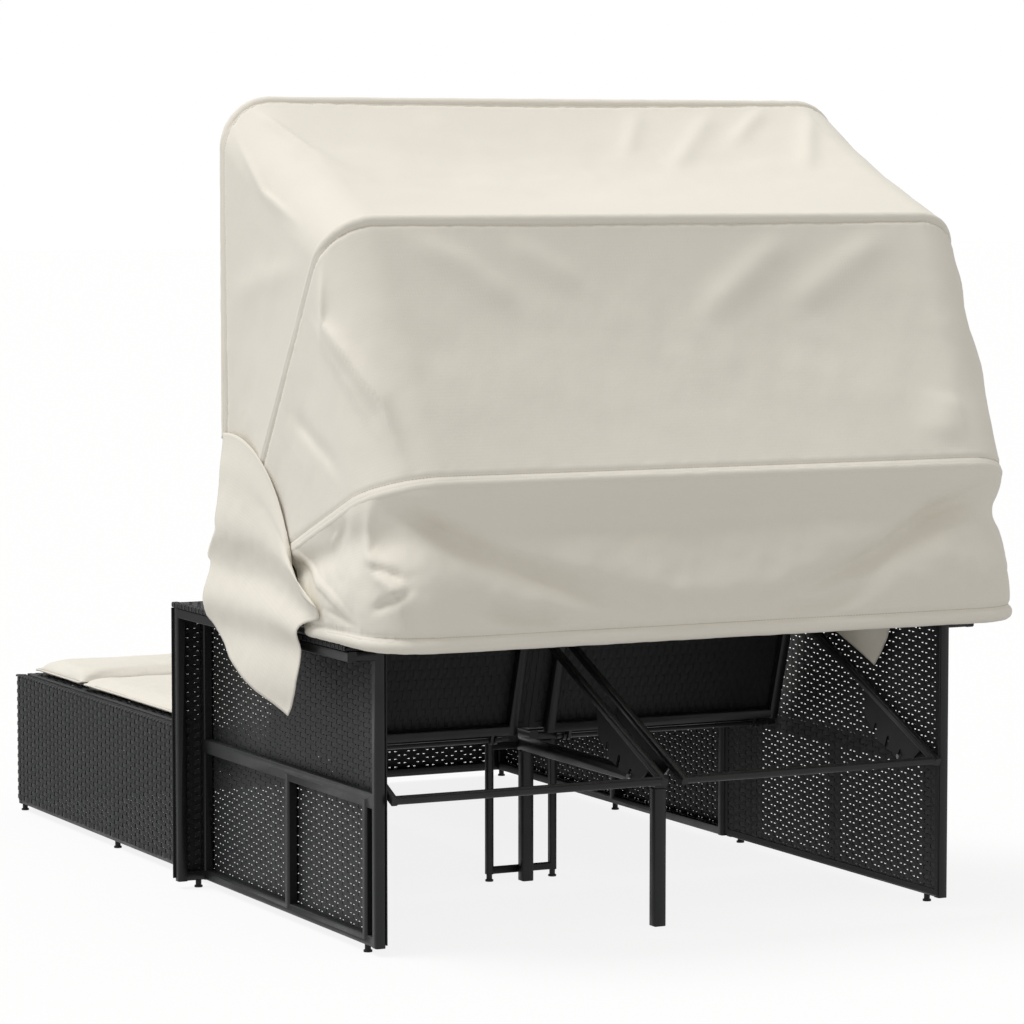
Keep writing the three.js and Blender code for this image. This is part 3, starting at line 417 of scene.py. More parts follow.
# Geometry Nodes trees
class Recipe(Wires):
    # a geometry tree with named inputs

    def __init__(self, name, floats, ints=()):
        super().__init__(bpy.data.node_groups.new(name, "GeometryNodeTree"))
        face = self.tree.interface
        face.new_socket(name="Geometry", in_out="OUTPUT", socket_type="NodeSocketGeometry")
        for kind, labels in (("Geometry", ["Geometry"]), ("Float", floats), ("Int", ints), ("Material", ["Material"])):
            for label in labels:
                face.new_socket(name=label, in_out="INPUT", socket_type="NodeSocket" + kind)
        self.start = self.node("NodeGroupInput")

    def read(self, label):
        return Amount(self, self.start.outputs[label])

    def vector(self, x, y, z):
        return self.node("ShaderNodeCombineXYZ", {0: x, 1: y, 2: z}).outputs[0]

    def place(self):
        # x, y and z of each point
        split = self.node("ShaderNodeSeparateXYZ", {0: self.node("GeometryNodeInputPosition").outputs[0]})
        return [Amount(self, socket) for socket in split.outputs]

    def floor(self, value):
        return self.maths("FLOOR", value)

    def swap(self, value):
        # 1 for even numbers and -1 for odd ones, and a wave between them
        return self.maths("COSINE", value * math.pi)

    def without(self, geometry, chosen):
        return self.node("GeometryNodeDeleteGeometry", {"Geometry": geometry, "Selection": chosen},
                         domain="FACE", mode="ALL").outputs[0]

    def withUv(self, geometry, u, v):
        return self.node("GeometryNodeStoreNamedAttribute", {
            "Geometry": geometry, "Name": "UVMap", "Value": self.vector(u, v, 0.0)},
            data_type="FLOAT2", domain="CORNER").outputs[0]

    def banded(self, sizeX, sizeY, columns, rows, along, count):
        # a grid without its every second band of faces, each point's band, and its side of it, -0.5 or 0.5
        grid = self.node("GeometryNodeMeshGrid", {
            "Size X": sizeX, "Size Y": sizeY, "Vertices X": columns, "Vertices Y": rows})
        band = self.floor(along + count / 2)
        kept = self.without(grid.outputs[0], self.maths("GREATER_THAN", self.maths("MODULO", band, 2.0), 0.5))
        line = along + count / 2 + 0.25
        number = self.floor(line / 2)
        return kept, number, self.floor(line - number * 2) - 0.5

    def finish(self, geometry):
        real = self.node("GeometryNodeRealizeInstances", {0: geometry})
        painted = self.node("GeometryNodeSetMaterial", {"Geometry": real.outputs[0], "Material": self.read("Material")})
        self.node("NodeGroupOutput", {0: painted.outputs[0]})
        return self


def runRecipe(recipe, mesh, values):
    item = placed("maker", mesh)
    modifier = item.modifiers.new("recipe", "NODES")
    modifier.node_group = recipe.tree
    for socket in recipe.tree.interface.items_tree:
        if socket.in_out == "INPUT" and socket.name in values:
            modifier[socket.identifier] = values[socket.name]
    return settled(item)


def settled(item):
    # the evaluated mesh, and its object removed
    view = bpy.context.evaluated_depsgraph_get()
    made = bpy.data.meshes.new_from_object(item.evaluated_get(view))
    bpy.data.objects.remove(item)
    return made


# how far each ribbon's UVs are shifted, so that no two show the same streaks
uvShift = {"row": (0.371, 0.0537), "strip": (0.211, 0.0719), "wrap": 0.0531}


def wovenRecipe():
    # flat basket weave in the XY plane: wide rows along X over and under upright strips
    r = Recipe("wovenPanel", (
        "length", "height", "rowPitch", "stripPitch", "rowWidth", "stripWidth", "lift", "opening", "step",
        "holeX", "holeY", "holeRadius"))
    length, rowPitch, stripPitch, rowWidth, stripWidth, lift = [
        r.read(label) for label in ("length", "rowPitch", "stripPitch", "rowWidth", "stripWidth", "lift")]
    x, y, _ = r.place()
    rows = r.floor(r.read("height") / rowPitch)
    span = rows * rowPitch
    lines = rows * 2 - 1
    columns = r.floor(length / r.read("step")) + 1
    kept, row, edge = r.banded(length, lines, columns, rows * 2, y, lines)
    odd, swing = r.swap(row), r.maths("COSINE", x * math.pi / stripPitch)
    shape = swing * r.maths("SQRT", r.maths("ABSOLUTE", swing))
    newY = (row + 0.5) * rowPitch - span / 2 + edge * rowWidth + odd * shape * r.read("opening")
    shiftU, shiftV = uvShift["row"]
    weft = r.node("GeometryNodeSetPosition", {
        "Geometry": r.withUv(kept, x + row * shiftU, edge * rowWidth + row * shiftV),
        "Position": r.vector(x, newY, odd * swing * lift)})
    # upright strips dip where a row passes over them
    half = r.floor((length - stripWidth) / (stripPitch * 2))
    across = half * 4 + 1
    kept, strip, edge = r.banded(across, r.read("height"), across + 1, rows * 2 + 1, x, across)
    number = strip - half
    wave = r.swap((y + span / 2) / rowPitch - 0.5) * r.swap(number)
    shiftU, shiftV = uvShift["strip"]
    warp = r.node("GeometryNodeSetPosition", {
        "Geometry": r.withUv(kept, y + number * shiftU, edge * stripWidth + number * shiftV),
        "Position": r.vector(number * stripPitch + edge * stripWidth, y, wave * lift * -0.45)})
    both = r.node("GeometryNodeJoinGeometry")
    r.put(both.inputs[0], weft.outputs[0])
    r.put(both.inputs[0], warp.outputs[0])
    # room for a pin that passes through
    far = [r.maths("POWER", value - r.read(label), 2.0) for value, label in ((x, "holeX"), (y, "holeY"))]
    near = r.maths("LESS_THAN", r.maths("SQRT", far[0] + far[1]), r.read("holeRadius"))
    return r.finish(r.without(both.outputs[0], near))


def wrapRecipe():
    # ribbons that wrap over a rail: the input path is pushed along Y at a pitch
    r = Recipe("railWrap", ("length", "rowPitch", "wrapWidth", "lift"))
    pitch = r.read("rowPitch")
    count = r.floor(r.read("length") / pitch)
    start = count * pitch * -0.5
    line = r.node("GeometryNodeMeshLine", {
        "Count": count, "Start Location": r.vector(0.0, start, 0.0), "Offset": r.vector(0.0, pitch, 0.0)})
    copies = r.node("GeometryNodeInstanceOnPoints", {"Points": line.outputs[0], "Instance": r.read("Geometry")})
    real = r.node("GeometryNodeRealizeInstances", {0: copies.outputs[0]})
    pushed = r.node("GeometryNodeExtrudeMesh", {
        "Mesh": real.outputs[0], "Offset": r.vector(0.0, r.read("wrapWidth"), 0.0), "Offset Scale": 1.0}, mode="EDGES")
    x, y, z = r.place()
    number = r.floor((y + 0.0001 - start) / pitch)
    push = r.node("ShaderNodeVectorMath", {
        0: r.node("GeometryNodeInputNormal").outputs[0], "Scale": r.swap(number) * r.read("lift")}, operation="SCALE")
    moved = r.node("GeometryNodeSetPosition", {"Geometry": pushed.outputs["Mesh"], "Offset": push.outputs[0]})
    return r.finish(r.withUv(moved.outputs[0], x + z, y + number * uvShift["wrap"]))


def tubeRecipe():
    r = Recipe("roundTube", ("Radius",), ("Sides",))
    line = r.node("GeometryNodeMeshToCurve", {0: r.read("Geometry")})
    ring = r.node("GeometryNodeCurvePrimitiveCircle", {"Resolution": r.read("Sides"), "Radius": r.read("Radius")})
    return r.finish(r.node("GeometryNodeCurveToMesh", {
        "Curve": line.outputs[0], "Profile Curve": ring.outputs[0], "Fill Caps": True}).outputs[0])


def stitchRecipe():
    r = Recipe("stitchRun", ("Pitch", "Stitch Length", "Thickness"))
    line = r.node("GeometryNodeMeshToCurve", {0: r.read("Geometry")})
    spots = r.node("GeometryNodeCurveToPoints", {"Curve": line.outputs[0], "Length": r.read("Pitch")}, mode="LENGTH")
    stitch = r.node("GeometryNodeMeshCylinder", {
        "Vertices": 5, "Radius": r.read("Thickness"), "Depth": r.read("Stitch Length")}, fill_type="TRIANGLE_FAN")
    turned = r.node("FunctionNodeAlignRotationToVector", {"Vector": spots.outputs["Tangent"]}, axis="Z")
    return r.finish(r.node("GeometryNodeInstanceOnPoints", {
        "Points": spots.outputs["Points"], "Instance": stitch.outputs["Mesh"],
        "Rotation": turned.outputs[0]}).outputs[0])


recipes = {"woven": wovenRecipe(), "wrap": wrapRecipe(), "tube": tubeRecipe(), "stitch": stitchRecipe()}
print("node trees made:", len(recipes))

# Woven cane skins
weave = {
    "rowPitch": 0.0093, "rowWidth": 0.00925, "step": 0.006, "ribbon": 0.0008, "inset": 0.004, "bindingWidth": 0.013,
    "bindingThickness": 0.0032, "bindingEdge": 0.0012, "wrapWidth": 0.0084, "wrapCorner": 0.003,
}
weaveKinds = {
    # the arms' weave takes the lighter copy of the cane: painted light for the canopy's shade on the arms
    "airy": {"stripPitch": 0.025, "stripWidth": 0.0080, "lift": 0.0006, "opening": 0.0020, "finish": "armCane"},
    "plain": {"stripPitch": 0.025, "stripWidth": 0.0100, "lift": 0.0013, "opening": 0.0012, "finish": "cane"},
    "close": {"stripPitch": 0.022, "stripWidth": 0.0115, "lift": 0.0009, "opening": 0.0005, "finish": "cane"},
}
# how a skin can lie: the axis of its length, the axis of its height, and which way its height points
planes = {"side": (1, 2, 1), "end": (0, 2, 1), "flat": (1, 0, -1)}


def panelAxes(plane, centre):
    first, second, way = planes[plane]
    along, up = Vector((0, 0, 0)), Vector((0, 0, 0))
    along[first], up[second] = 1, way
    return Matrix.Translation(centre) @ Matrix((along, up, along.cross(up))).transposed().to_4x4()


def bindingMesh(length, height):
    # flat cane band round the edge of a woven panel
    work = bmesh.new()
    a, b, w, t = length / 2, height / 2, weave["bindingWidth"], weave["bindingThickness"] / 2
    rings = [[work.verts.new(p) for p in ((-x, -y, z), (x, -y, z), (x, y, z), (-x, y, z))]
             for x, y, z in ((a, b, t), (a - w, b - w, t), (a - w, b - w, -t), (a, b, -t))]
    for one, other in zip(rings, rings[1:] + rings[:1]):
        for i in range(4):
            j = (i + 1) % 4
            work.faces.new((one[i], one[j], other[j], other[i]))
    bmesh.ops.recalc_face_normals(work, faces=work.faces)
    return meshFrom(work, "binding")


def wovenSkin(name, node, length, height, place, body="base", hole=(9.0, 9.0, 0.0), bound=True, kind="plain"):
    inset = 2 * weave["inset"]
    mesh = runRecipe(recipes["woven"], bpy.data.meshes.new("seed"), {
        **weave, **weaveKinds[kind], "length": length - inset, "height": height - inset,
        "holeX": hole[0], "holeY": hole[1], "holeRadius": hole[2], "Material": finishes["cane"]})
    mesh.transform(place)
    thicken(newPiece(name, mesh, weaveKinds[kind]["finish"], body, (node,)), weave["ribbon"])
    if bound:
        band = bindingMesh(length, height)
        band.transform(place)
        easeEdges(newPiece(name + "Binding", band, "cane", body), weave["bindingEdge"])


def boxSkin(name, node, plane, at=None, trim=(0, 0), **options):
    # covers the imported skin's box; at gives an axis and the place of the weave's middle on it
    low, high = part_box(node)
    centre = (low + high) / 2
    if at:
        centre[at[0]] = at[1]
    length, height = [high[axis] - low[axis] - less for axis, less in zip(planes[plane], trim)]
    wovenSkin(name, node, length, height, panelAxes(plane, centre), **options)


def roundedPath(corners, radius, count=4):
    corners = [Vector(corner) for corner in corners]
    points = corners[:1]
    for before, corner, after in zip(corners, corners[1:], corners[2:]):
        a, b = [corner + (other - corner).normalized() * radius for other in (before, after)]
        points += [a * (1 - t) ** 2 + corner * (2 * t * (1 - t)) + b * t ** 2 for t in steps(0, 1, count)]
    return points + corners[-1:]


def railWrap(name, corners, length, place, lift=0.0003):
    path = pathMesh(roundedPath(corners, weave["wrapCorner"]))
    mesh = runRecipe(recipes["wrap"], path, {**weave, "length": length, "lift": lift, "Material": finishes["cane"]})
    mesh.transform(place)
    thicken(newPiece(name, mesh, "cane", "base"), weave["ribbon"])


arm = {
    "innerX": 0.60185, "pinRoom": 0.009, "topSink": 0.0022, "topTrim": (0.004, 0.006), "wrapTrim": 0.002,
    "wrapLift": 0.0002, "lap": 0.012, "edgeGap": 0.0006, "faceGap": 0.0008, "coreSink": 0.0042,
    "coreTrim": (0.004, 0.004, 0.0016), "coreEdge": 0.001,
}


def armSkins(label, side, sign):
    node = "arm_inner_skin_" + side
    (low, high), (pinLow, pinHigh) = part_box(node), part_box("side_rest_pin_" + side)
    hole = [(pinLow[axis] + pinHigh[axis]) / 2 - (low[axis] + high[axis]) / 2 for axis in (1, 2)]
    boxSkin("armInnerWeave" + label, node, "side", (0, sign * arm["innerX"]), hole=(*hole, arm["pinRoom"]), kind="airy")
    boxSkin("armFrontWeave" + label, "arm_front_skin_" + side, "end", kind="close")
    node = "arm_top_skin_" + side
    low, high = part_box(node)
    boxSkin("armTopWeave" + label, node, "flat", (2, high.z - arm["topSink"]), arm["topTrim"], bound=False,
            kind="close")
    a, b, c, d = low.x + arm["edgeGap"], high.x - arm["edgeGap"], low.z + arm["faceGap"], high.z - arm["coreSink"]
    top, length, middle = high.z - arm["faceGap"], high.y - low.y, (low.y + high.y) / 2
    for letter, edge, inner in (("a", a, a + arm["lap"]), ("b", b, b - arm["lap"])):
        railWrap("armTopWrap" + label + letter, [(inner, 0, top), (edge, 0, top), (edge, 0, c), (inner, 0, c)],
                 length - arm["wrapTrim"], Matrix.Translation((0, middle, 0)), arm["wrapLift"])
    work = bmesh.new()
    size = [whole - less for whole, less in zip((b - a, length, d - c), arm["coreTrim"])]
    place = Matrix.Translation(((a + b) / 2, middle, (c + d) / 2))
    bmesh.ops.create_cube(work, size=1, matrix=place @ Matrix.Diagonal((*size, 1)))
    easeEdges(newPiece("armTopCore" + label, meshFrom(work, "armTopCore"), "cane", "base"), arm["coreEdge"])


rail = {
    "sink": 0.00185, "gap": 0.0004, "drop": 0.005, "top": 0.0012, "innerGap": 0.0006, "innerTop": 0.0026,
    "footTrim": 0.002, "footDrop": 0.016, "footRise": 0.0148, "footDepth": 0.0226, "footLength": 1.188,
}


def lowSkins(label, side, sign):
    node = "low_side_skin_" + side
    low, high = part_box(node)
    inner, outer = (low.x, high.x)[::sign]
    boxSkin("lowSideWeave" + label, node, "side", (0, outer - sign * rail["sink"]), bound=False)
    face = outer - sign * rail["gap"]
    corners = [(face, 0, high.z - rail["drop"]), (face, 0, high.z - rail["top"]),
               (inner + sign * rail["innerGap"], 0, high.z - rail["innerTop"])]
    railWrap("lowRailWrap" + label, corners, high.y - low.y, Matrix.Translation((0, (low.y + high.y) / 2, 0)))
    boxSkin("seatWeave" + label, "seat_skin_" + side, "flat")


def footSkin():
    low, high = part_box("foot_end_skin")
    boxSkin("footEndWeave", "foot_end_skin", "end", (1, low.y + rail["sink"]), (rail["footTrim"], 0), bound=False)
    corners = [(0, 0, 0), (0, 0, rail["footRise"]), (-rail["footDepth"], 0, rail["footRise"])]
    place = Matrix.Translation((0, low.y + rail["gap"], high.z - rail["footDrop"]))
    turned = Matrix.Rotation(math.pi / 2, 4, "Z") @ Matrix.Scale(-1, 4, (1, 0, 0))
    railWrap("footRailWrap", corners, rail["footLength"], place @ turned)


# what rides on a backrest is built lying flat from the hinge line, then turned up with it
back = {
    "hinge": (0, 0.285, 0.298), "lean": 73, "length": 0.582, "width": 0.5798, "gap": 0.0002, "start": 0.018,
    "rise": 0.0123,
}
raised = Matrix.Translation(back["hinge"]) @ Matrix.Rotation(math.radians(back["lean"]), 4, "X")


def backSkins(label, side, sign):
    centre = (sign * (back["gap"] + back["width"] / 2), back["start"] + back["length"] / 2, back["rise"])
    wovenSkin("backWeave" + label, "backrest_skin_" + side, back["length"], back["width"],
              raised @ panelAxes("flat", centre), "backrest_" + side, kind="close")


for place in sides:
    armSkins(*place)
    lowSkins(*place)
    backSkins(*place)
footSkin()
print("woven skins made")

# Steel frames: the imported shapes, merged, with softly rounded edges
steel = {"edge": 0.0012, "bracketEdge": 0.0008, "smoothLimit": 50, "edgeLimit": 60, "weld": 0.00002, "flat": 0.5}
frameBodies = {
    "arm_frame": "base", "low_side_frame": "base", "seat_frame": "base", "strut": "strut",
    "backrest_frame": "backrest",
}
baseFrames = ("foot_end_frame", "centre_stand", "centre_beam", "centre_leg_front", "centre_leg_rear")
smallFinishes = {"cushion": None, "foot": "plastic", "rod": "steel", "pin": "zinc", "bolt": "zinc"}


def sideBody(body, side):
    return body if body == "base" else body + "_" + side


def steelPiece(node, body="base", edge=steel["edge"]):
    work = bmesh.new()
    work.from_mesh(nodes[node].data)
    bmesh.ops.remove_doubles(work, verts=work.verts, dist=steel["weld"])
    bmesh.ops.dissolve_limit(work, angle_limit=math.radians(steel["flat"]), verts=work.verts, edges=work.edges)
    first, *words = node.split("_")
    name = first + "".join(word.capitalize() for word in words)
    easeEdges(newPiece(name, smooth(meshFrom(work, node), steel["smoothLimit"]), "steel", body, (node,)),
              edge, steel["edgeLimit"])


for label, side, sign in sides:
    for node, body in frameBodies.items():
        steelPiece(node + "_" + side, sideBody(body, side))
    steelPiece("canopy_bracket_" + side, edge=steel["bracketEdge"])
for node in baseFrames:
    steelPiece(node)
for node, item in nodes.items():
    kind = next((finish for word, finish in smallFinishes.items() if word in node), None)
    if kind and not item.hide_render:
        item.data.materials.clear()
        item.data.materials.append(finishes[kind])
print("steel frames made")

# Canopy: the bows' lines and the cloth stretched over them
pivot = Vector((0, 0.330, 0.620))
hood = {
    "halfWidth": 0.682, "bowRadius": 0.008, "bowPitch": 0.018, "joggleStart": 0.150, "joggleEnd": 0.270,
    "lift": 0.0106, "legShare": 0.62, "topShare": 0.4, "sideLean": 0.6, "eyes": ((0.011, 0.0165), (0.0128, 0.006)),
    "eyeSides": 28, "eyeEdge": 0.0008, "bowSides": 16,
}
bows = {
    "front": {"reach": 0.970, "lean": 0.0, "plane": 0, "corner": 0.090, "sleeve": 0.316},
    "middle": {"reach": 0.892, "lean": 33.3, "plane": 1, "corner": 0.090, "sleeve": 0.333},
    "seam": {"reach": 0.777, "lean": 69.7, "plane": 2, "corner": 0.125, "sleeve": 0.346},
}
hem = {
    "rear": 1.0854, "height": 0.5953, "corner": 0.105, "front": 0.735, "start": 0.363, "armTop": 0.5881,
    "armSide": 0.595, "armEnd": 0.902, "rise": 0.0045,
}


def ease(t):
    t = min(max(t, 0), 1)
    return t * t * (3 - 2 * t)


def outline(share, width, reach, corner, foot):
    # half outline of a bow: across the top, round the corner, down the leg
    part = abs(share)
    legShare, topShare = hood["legShare"], hood["topShare"]
    if part > legShare:
        x, r = width, reach - corner + (foot - reach + corner) * ((part - legShare) / (1 - legShare))
    elif part > topShare:
        turn = math.pi / 2 * (legShare - part) / (legShare - topShare)
        x, r = width - corner + corner * math.cos(turn), reach - corner + corner * math.sin(turn)
    else:
        x, r = (width - corner) * part / topShare, reach
    return math.copysign(x, share), r


def leant(lean, x, r):
    lean = math.radians(lean)
    return Vector((x, pivot.y + r * math.sin(lean), pivot.z + r * math.cos(lean)))


def bowPoint(bow, share, lift=hood["lift"]):
    x, r = outline(share, hood["halfWidth"] + lift, bow["reach"] + lift, bow["corner"] + lift, bow["sleeve"])
    return leant(bow["lean"], x, r)


def hemPoint(share, lift=hood["lift"]):
    x, y = outline(share, hood["halfWidth"] + lift, hem["rear"] + lift, hem["corner"] + lift, hem["front"])
    return Vector((x, y, hem["height"]))


def roundAndBack(half, top, corner, count):
    # half a bow, its rounded corner, and the same mirrored
    x = hood["halfWidth"] - corner
    half += [(x + corner * math.cos(turn), top + corner * math.sin(turn)) for turn in steps(0, math.pi / 2, count)]
    return half + [(-x, r) for x, r in reversed(half)]


def bowFrameLine(bow, foot, count=10):
    # the steel bow itself, from one end on the bolt to the other
    width, start, end, top = hood["halfWidth"], hood["joggleStart"], hood["joggleEnd"], bow["reach"] - bow["corner"]
    half = [(foot, 0.0), (foot, start)]
    half += [(foot + (width - foot) * ease(t), start + (end - start) * t) for t in steps(0, 1, count)[1:]]
    half += [(width, r) for r in steps(end, top, 6)[1:-1]]
    return [leant(bow["lean"], x, r) for x, r in roundAndBack(half, top, bow["corner"], count)]


def hemFrameLine(count=12):
    top = hem["rear"] - hem["corner"]
    half = [(hood["halfWidth"], y) for y in steps(hem["start"], top, 8)[:-1]]
    return [Vector((x, y, hem["height"])) for x, y in roundAndBack(half, top, hem["corner"], count)]


def tubeMesh(points, radius, sides, finish, closed=False):
    return runRecipe(recipes["tube"], pathMesh(points, closed), {
        "Radius": radius, "Sides": sides, "Material": finishes[finish]})


def bowTube(key, points, body):
    mesh = tubeMesh(points, hood["bowRadius"], hood["bowSides"], "steel")
    newPiece(key + "Bow", smooth(mesh, 60), "steel", body, (key + "_bow",))


def bowEyes(key, foot, body):
    # the flattened eyes at a bow's two ends
    work = bmesh.new()
    for x in (-foot, foot):
        place = Matrix.Translation((x, pivot.y, pivot.z)) @ Matrix.Rotation(math.pi / 2, 4, "Y")
        for radius, depth in hood["eyes"]:
            bmesh.ops.create_cone(work, cap_ends=True, segments=hood["eyeSides"], radius1=radius, radius2=radius,
                                  depth=depth, matrix=place)
    name = key + "BowEyes"
    easeEdges(newPiece(name, smooth(meshFrom(work, name), 40), "steel", body), hood["eyeEdge"])


for key, bow in bows.items():
    foot = hood["halfWidth"] - bow["plane"] * hood["bowPitch"]
    bowTube(key, bowFrameLine(bow, foot), key + "_bow")
    bowEyes(key, foot, key + "_bow")
bowTube("hem", hemFrameLine(), "base")


# Cloth panels
def spread(stops, counts):
    values = []
    for a, b, count in zip(stops, stops[1:], counts):
        values += steps(a, b, count)[:-1]
    return values + [stops[-1]]


cloth = {
    "thickness": 0.0018, "half": 1.6, "flatLength": 0.54, "skirtLength": 0.32, "flapLength": 0.4, "flapSteps": 48,
    "sleeve": (0.0116, 0.0116), "hemRoll": (0.0126, 0.0134), "sleeveThickness": 0.0012, "sleeveSides": 18,
    "sleeveWrinkle": 0.055, "seamAt": 0.0155, "seamDip": 0.0050, "seamWidth": 0.0048, "pucker": 0.0017,
    "puckerAt": 0.006, "puckerWidth": 0.012, "stitchPitch": 0.0065, "stitchLength": 0.0042, "stitchThickness": 0.0006,
    "stitchRise": 0.0004, "blendReach": 0.9, "blendHalf": 0.22, "skirtBlend": ((0.75, 0.03), (0.73, 0.26)),
    "tangentStep": 0.002, "sleeveUv": 0.004, "sleeveSeed": 7, "hemSeed": 33, "puckerScales": ((95, 30), (210, 60)),
    "foldEnds": 0.25, "foldFade": 3.2, "foldRise": 2.2, "sagPower": 0.85, "sideSag": 0.3,
    "ripples": ((0.0045, 4), (0.0008, 19)),
}
skirtShape = {
    "bells": ((0.012, 0.72, 0.2), (-0.024, 0.25, 0.15)), "ripples": ((0.009, 6), (0.002, 21)), "seed": 40,
    "rightDip": 0.012, "dipFrom": 0.35, "dipSlope": 5, "grooveSeed": 47,
}
bends = (-hood["legShare"], -hood["topShare"], hood["topShare"], hood["legShare"])
acrossShares = spread((-1, *bends, 1), (76, 34, 150, 34, 76))
downShares = spread((0, 0.07, 0.93, 1), (13, 38, 13))
seamShares = spread((-0.97, *bends, 0.97), (50, 24, 150, 24, 50))

# Folds: a line of (share, down) places, its half width, its height outwards in metres, and how sharp its crest is
frontFolds = [
    ([(0.47, 0.03), (0.42, 0.34), (0.36, 0.66)], 0.024, 0.010, 1.6),
    ([(0.55, 0.10), (0.60, 0.45), (0.575, 0.76)], 0.022, 0.010, 1.6),
    ([(-0.15, 0.03), (-0.07, 0.38)], 0.020, 0.006, 1.6), ([(-0.27, 0.03), (-0.12, 0.50)], 0.022, 0.007, 1.6),
    ([(-0.35, 0.03), (-0.25, 0.30)], 0.016, 0.008, 1.6), ([(-0.41, 0.08), (-0.32, 0.55)], 0.020, 0.008, 1.6),
    ([(0.20, 0.05), (0.12, 0.40)], 0.030, 0.004, 2), ([(0.80, 0.15), (0.66, 0.90)], 0.035, 0.007, 2),
    ([(-0.80, 0.20), (-0.68, 0.85)], 0.035, 0.007, 2),
]
rearFolds = [
    ([(0.37, 0.05), (0.30, 0.17), (0.21, 0.36)], 0.034, 0.009, 2),
    ([(0.23, 0.07), (0.18, 0.16), (0.12, 0.27)], 0.030, 0.006, 2),
    ([(-0.20, 0.05), (-0.13, 0.21), (-0.02, 0.42)], 0.034, 0.009, 2),
    ([(-0.35, 0.06), (-0.27, 0.20), (-0.16, 0.38)], 0.034, 0.009, 2),
    ([(0.56, 0.03), (0.62, 0.28), (0.55, 0.47), (0.49, 0.68), (0.47, 0.92)], 0.030, 0.022, 1.4),
    ([(0.68, 0.07), (0.63, 0.34), (0.57, 0.53), (0.51, 0.79)], 0.009, 0.006, 1.2),
    ([(0.84, 0.22), (0.74, 0.60), (0.64, 0.85)], 0.024, -0.009, 2),
    ([(-0.39, 0.70), (-0.37, 0.93)], 0.050, 0.010, 2),
    ([(-0.56, 0.05), (-0.62, 0.30), (-0.52, 0.80)], 0.034, 0.013, 1.6),
    ([(-0.84, 0.25), (-0.66, 0.85)], 0.026, -0.008, 2),
]
skirtFolds = [
    ([(-0.48, 0.10), (-0.37, 0.30), (-0.28, 0.50), (-0.20, 0.65), (-0.07, 0.82)], 0.026, -0.036, 2),
    ([(-0.24, 0.72), (-0.16, 0.86), (-0.06, 0.90)], 0.018, -0.020, 2),
    ([(0.53, 0.06), (0.46, 0.20), (0.39, 0.36), (0.30, 0.53), (0.21, 0.68), (0.10, 0.78)], 0.026, -0.036, 2),
    ([(0.36, 0.74), (0.29, 0.85), (0.22, 0.88)], 0.018, -0.020, 2),
    ([(0.16, 0.66), (0.06, 0.72), (-0.06, 0.70)], 0.030, 0.008, 2),
    ([(-0.66, 0.40), (-0.82, 0.85)], 0.024, -0.012, 2), ([(-0.52, 0.25), (-0.60, 0.80)], 0.020, 0.006, 2),
    ([(-0.95, 0.20), (-0.90, 0.80)], 0.030, -0.010, 2),
    ([(0.56, 0.02), (0.57, 0.37), (0.54, 0.52), (0.50, 0.66), (0.48, 0.90)], 0.022, 0.020, 1.5),
    ([(0.57, 0.45), (0.53, 0.50), (0.48, 0.57)], 0.011, -0.015, 1.8),
    ([(0.56, 0.74), (0.52, 0.70), (0.47, 0.64)], 0.011, -0.013, 1.8),
    ([(0.80, 0.03), (0.66, 0.10), (0.73, 0.21)], 0.034, -0.010, 2),
    ([(0.97, 0.03), (0.86, 0.45), (0.64, 0.86)], 0.016, 0.006, 6), ([(0.84, 0.72), (0.59, 0.90)], 0.009, -0.006, 1.6),
    ([(-0.97, 0.03), (-0.86, 0.45), (-0.64, 0.86)], 0.016, 0.006, 6),
]
panels = {
    "front": {"upper": "front", "lower": "middle", "folds": frontFolds, "length": 0.54, "seed": 3, "sag": 0.036,
              "grooves": (1, 0), "seams": {"front": "upper"}},
    "rear": {"upper": "middle", "lower": "seam", "folds": rearFolds, "length": 0.55, "seed": 17, "sag": 0.018,
             "grooves": (0.8, 0.55), "seams": {"middle": "upper", "rear": "lower"}},
}


def foldHeight(folds, share, down, length):
    total, half, ends = 0, cloth["half"], cloth["foldEnds"]
    px, py = share * half, down * length
    for line, size, height, power in folds:
        nearest, reached, count = 9, 0, len(line) - 1
        for index, ((s0, d0), (s1, d1)) in enumerate(zip(line, line[1:])):
            ax, ay = s0 * half, d0 * length
            dx, dy = s1 * half - ax, d1 * length - ay
            t = min(max(((px - ax) * dx + (py - ay) * dy) / (dx * dx + dy * dy), 0), 1)
            gap = math.hypot(px - ax - t * dx, py - ay - t * dy)
            if gap < nearest:
                nearest, reached = gap, (index + t) / count
        if nearest < 3 * size:
            fade = ends + (1 - ends) * ease(min(reached, 1 - reached) * cloth["foldFade"])
            total += height * fade * math.exp(-((nearest / size) ** power))
    return total


def ripple(point, scale, seed, height=0.8):
    return noise.fractal(Vector((point.x * scale, point.y * scale, point.z * scale + seed)), height, 2.0, 3)


def ripples(point, layers, seed):
    return sum(height * ripple(point, scale, seed) for height, scale in layers)


def bell(value, middle, width):
    return math.exp(-(((value - middle) / width) ** 2))


def seamGroove(gap, share, seed):
    # the cloth dips at the line of stitches beside a bow, and puckers there
    near = bell(gap, cloth["seamAt"], cloth["seamWidth"])
    beside = bell(gap, cloth["seamAt"] + cloth["puckerAt"], cloth["puckerWidth"])
    coarse, fine = [noise.noise(Vector((share * along, seed + more, gap * across)))
                    for more, (along, across) in zip((0, 5), cloth["puckerScales"])]
    return cloth["seamDip"] * near + cloth["pucker"] * beside * (coarse + 0.5 * fine)


def awayFromPivot(spot):
    return Vector((spot.x * hood["sideLean"], spot.y - pivot.y, spot.z - pivot.z)).normalized()


def levelOut(spot):
    return Vector((spot.x * hood["sideLean"], spot.y - pivot.y, 0)).normalized()


def lineOf(key):
    return lambda share: bowPoint(bows[key], share)


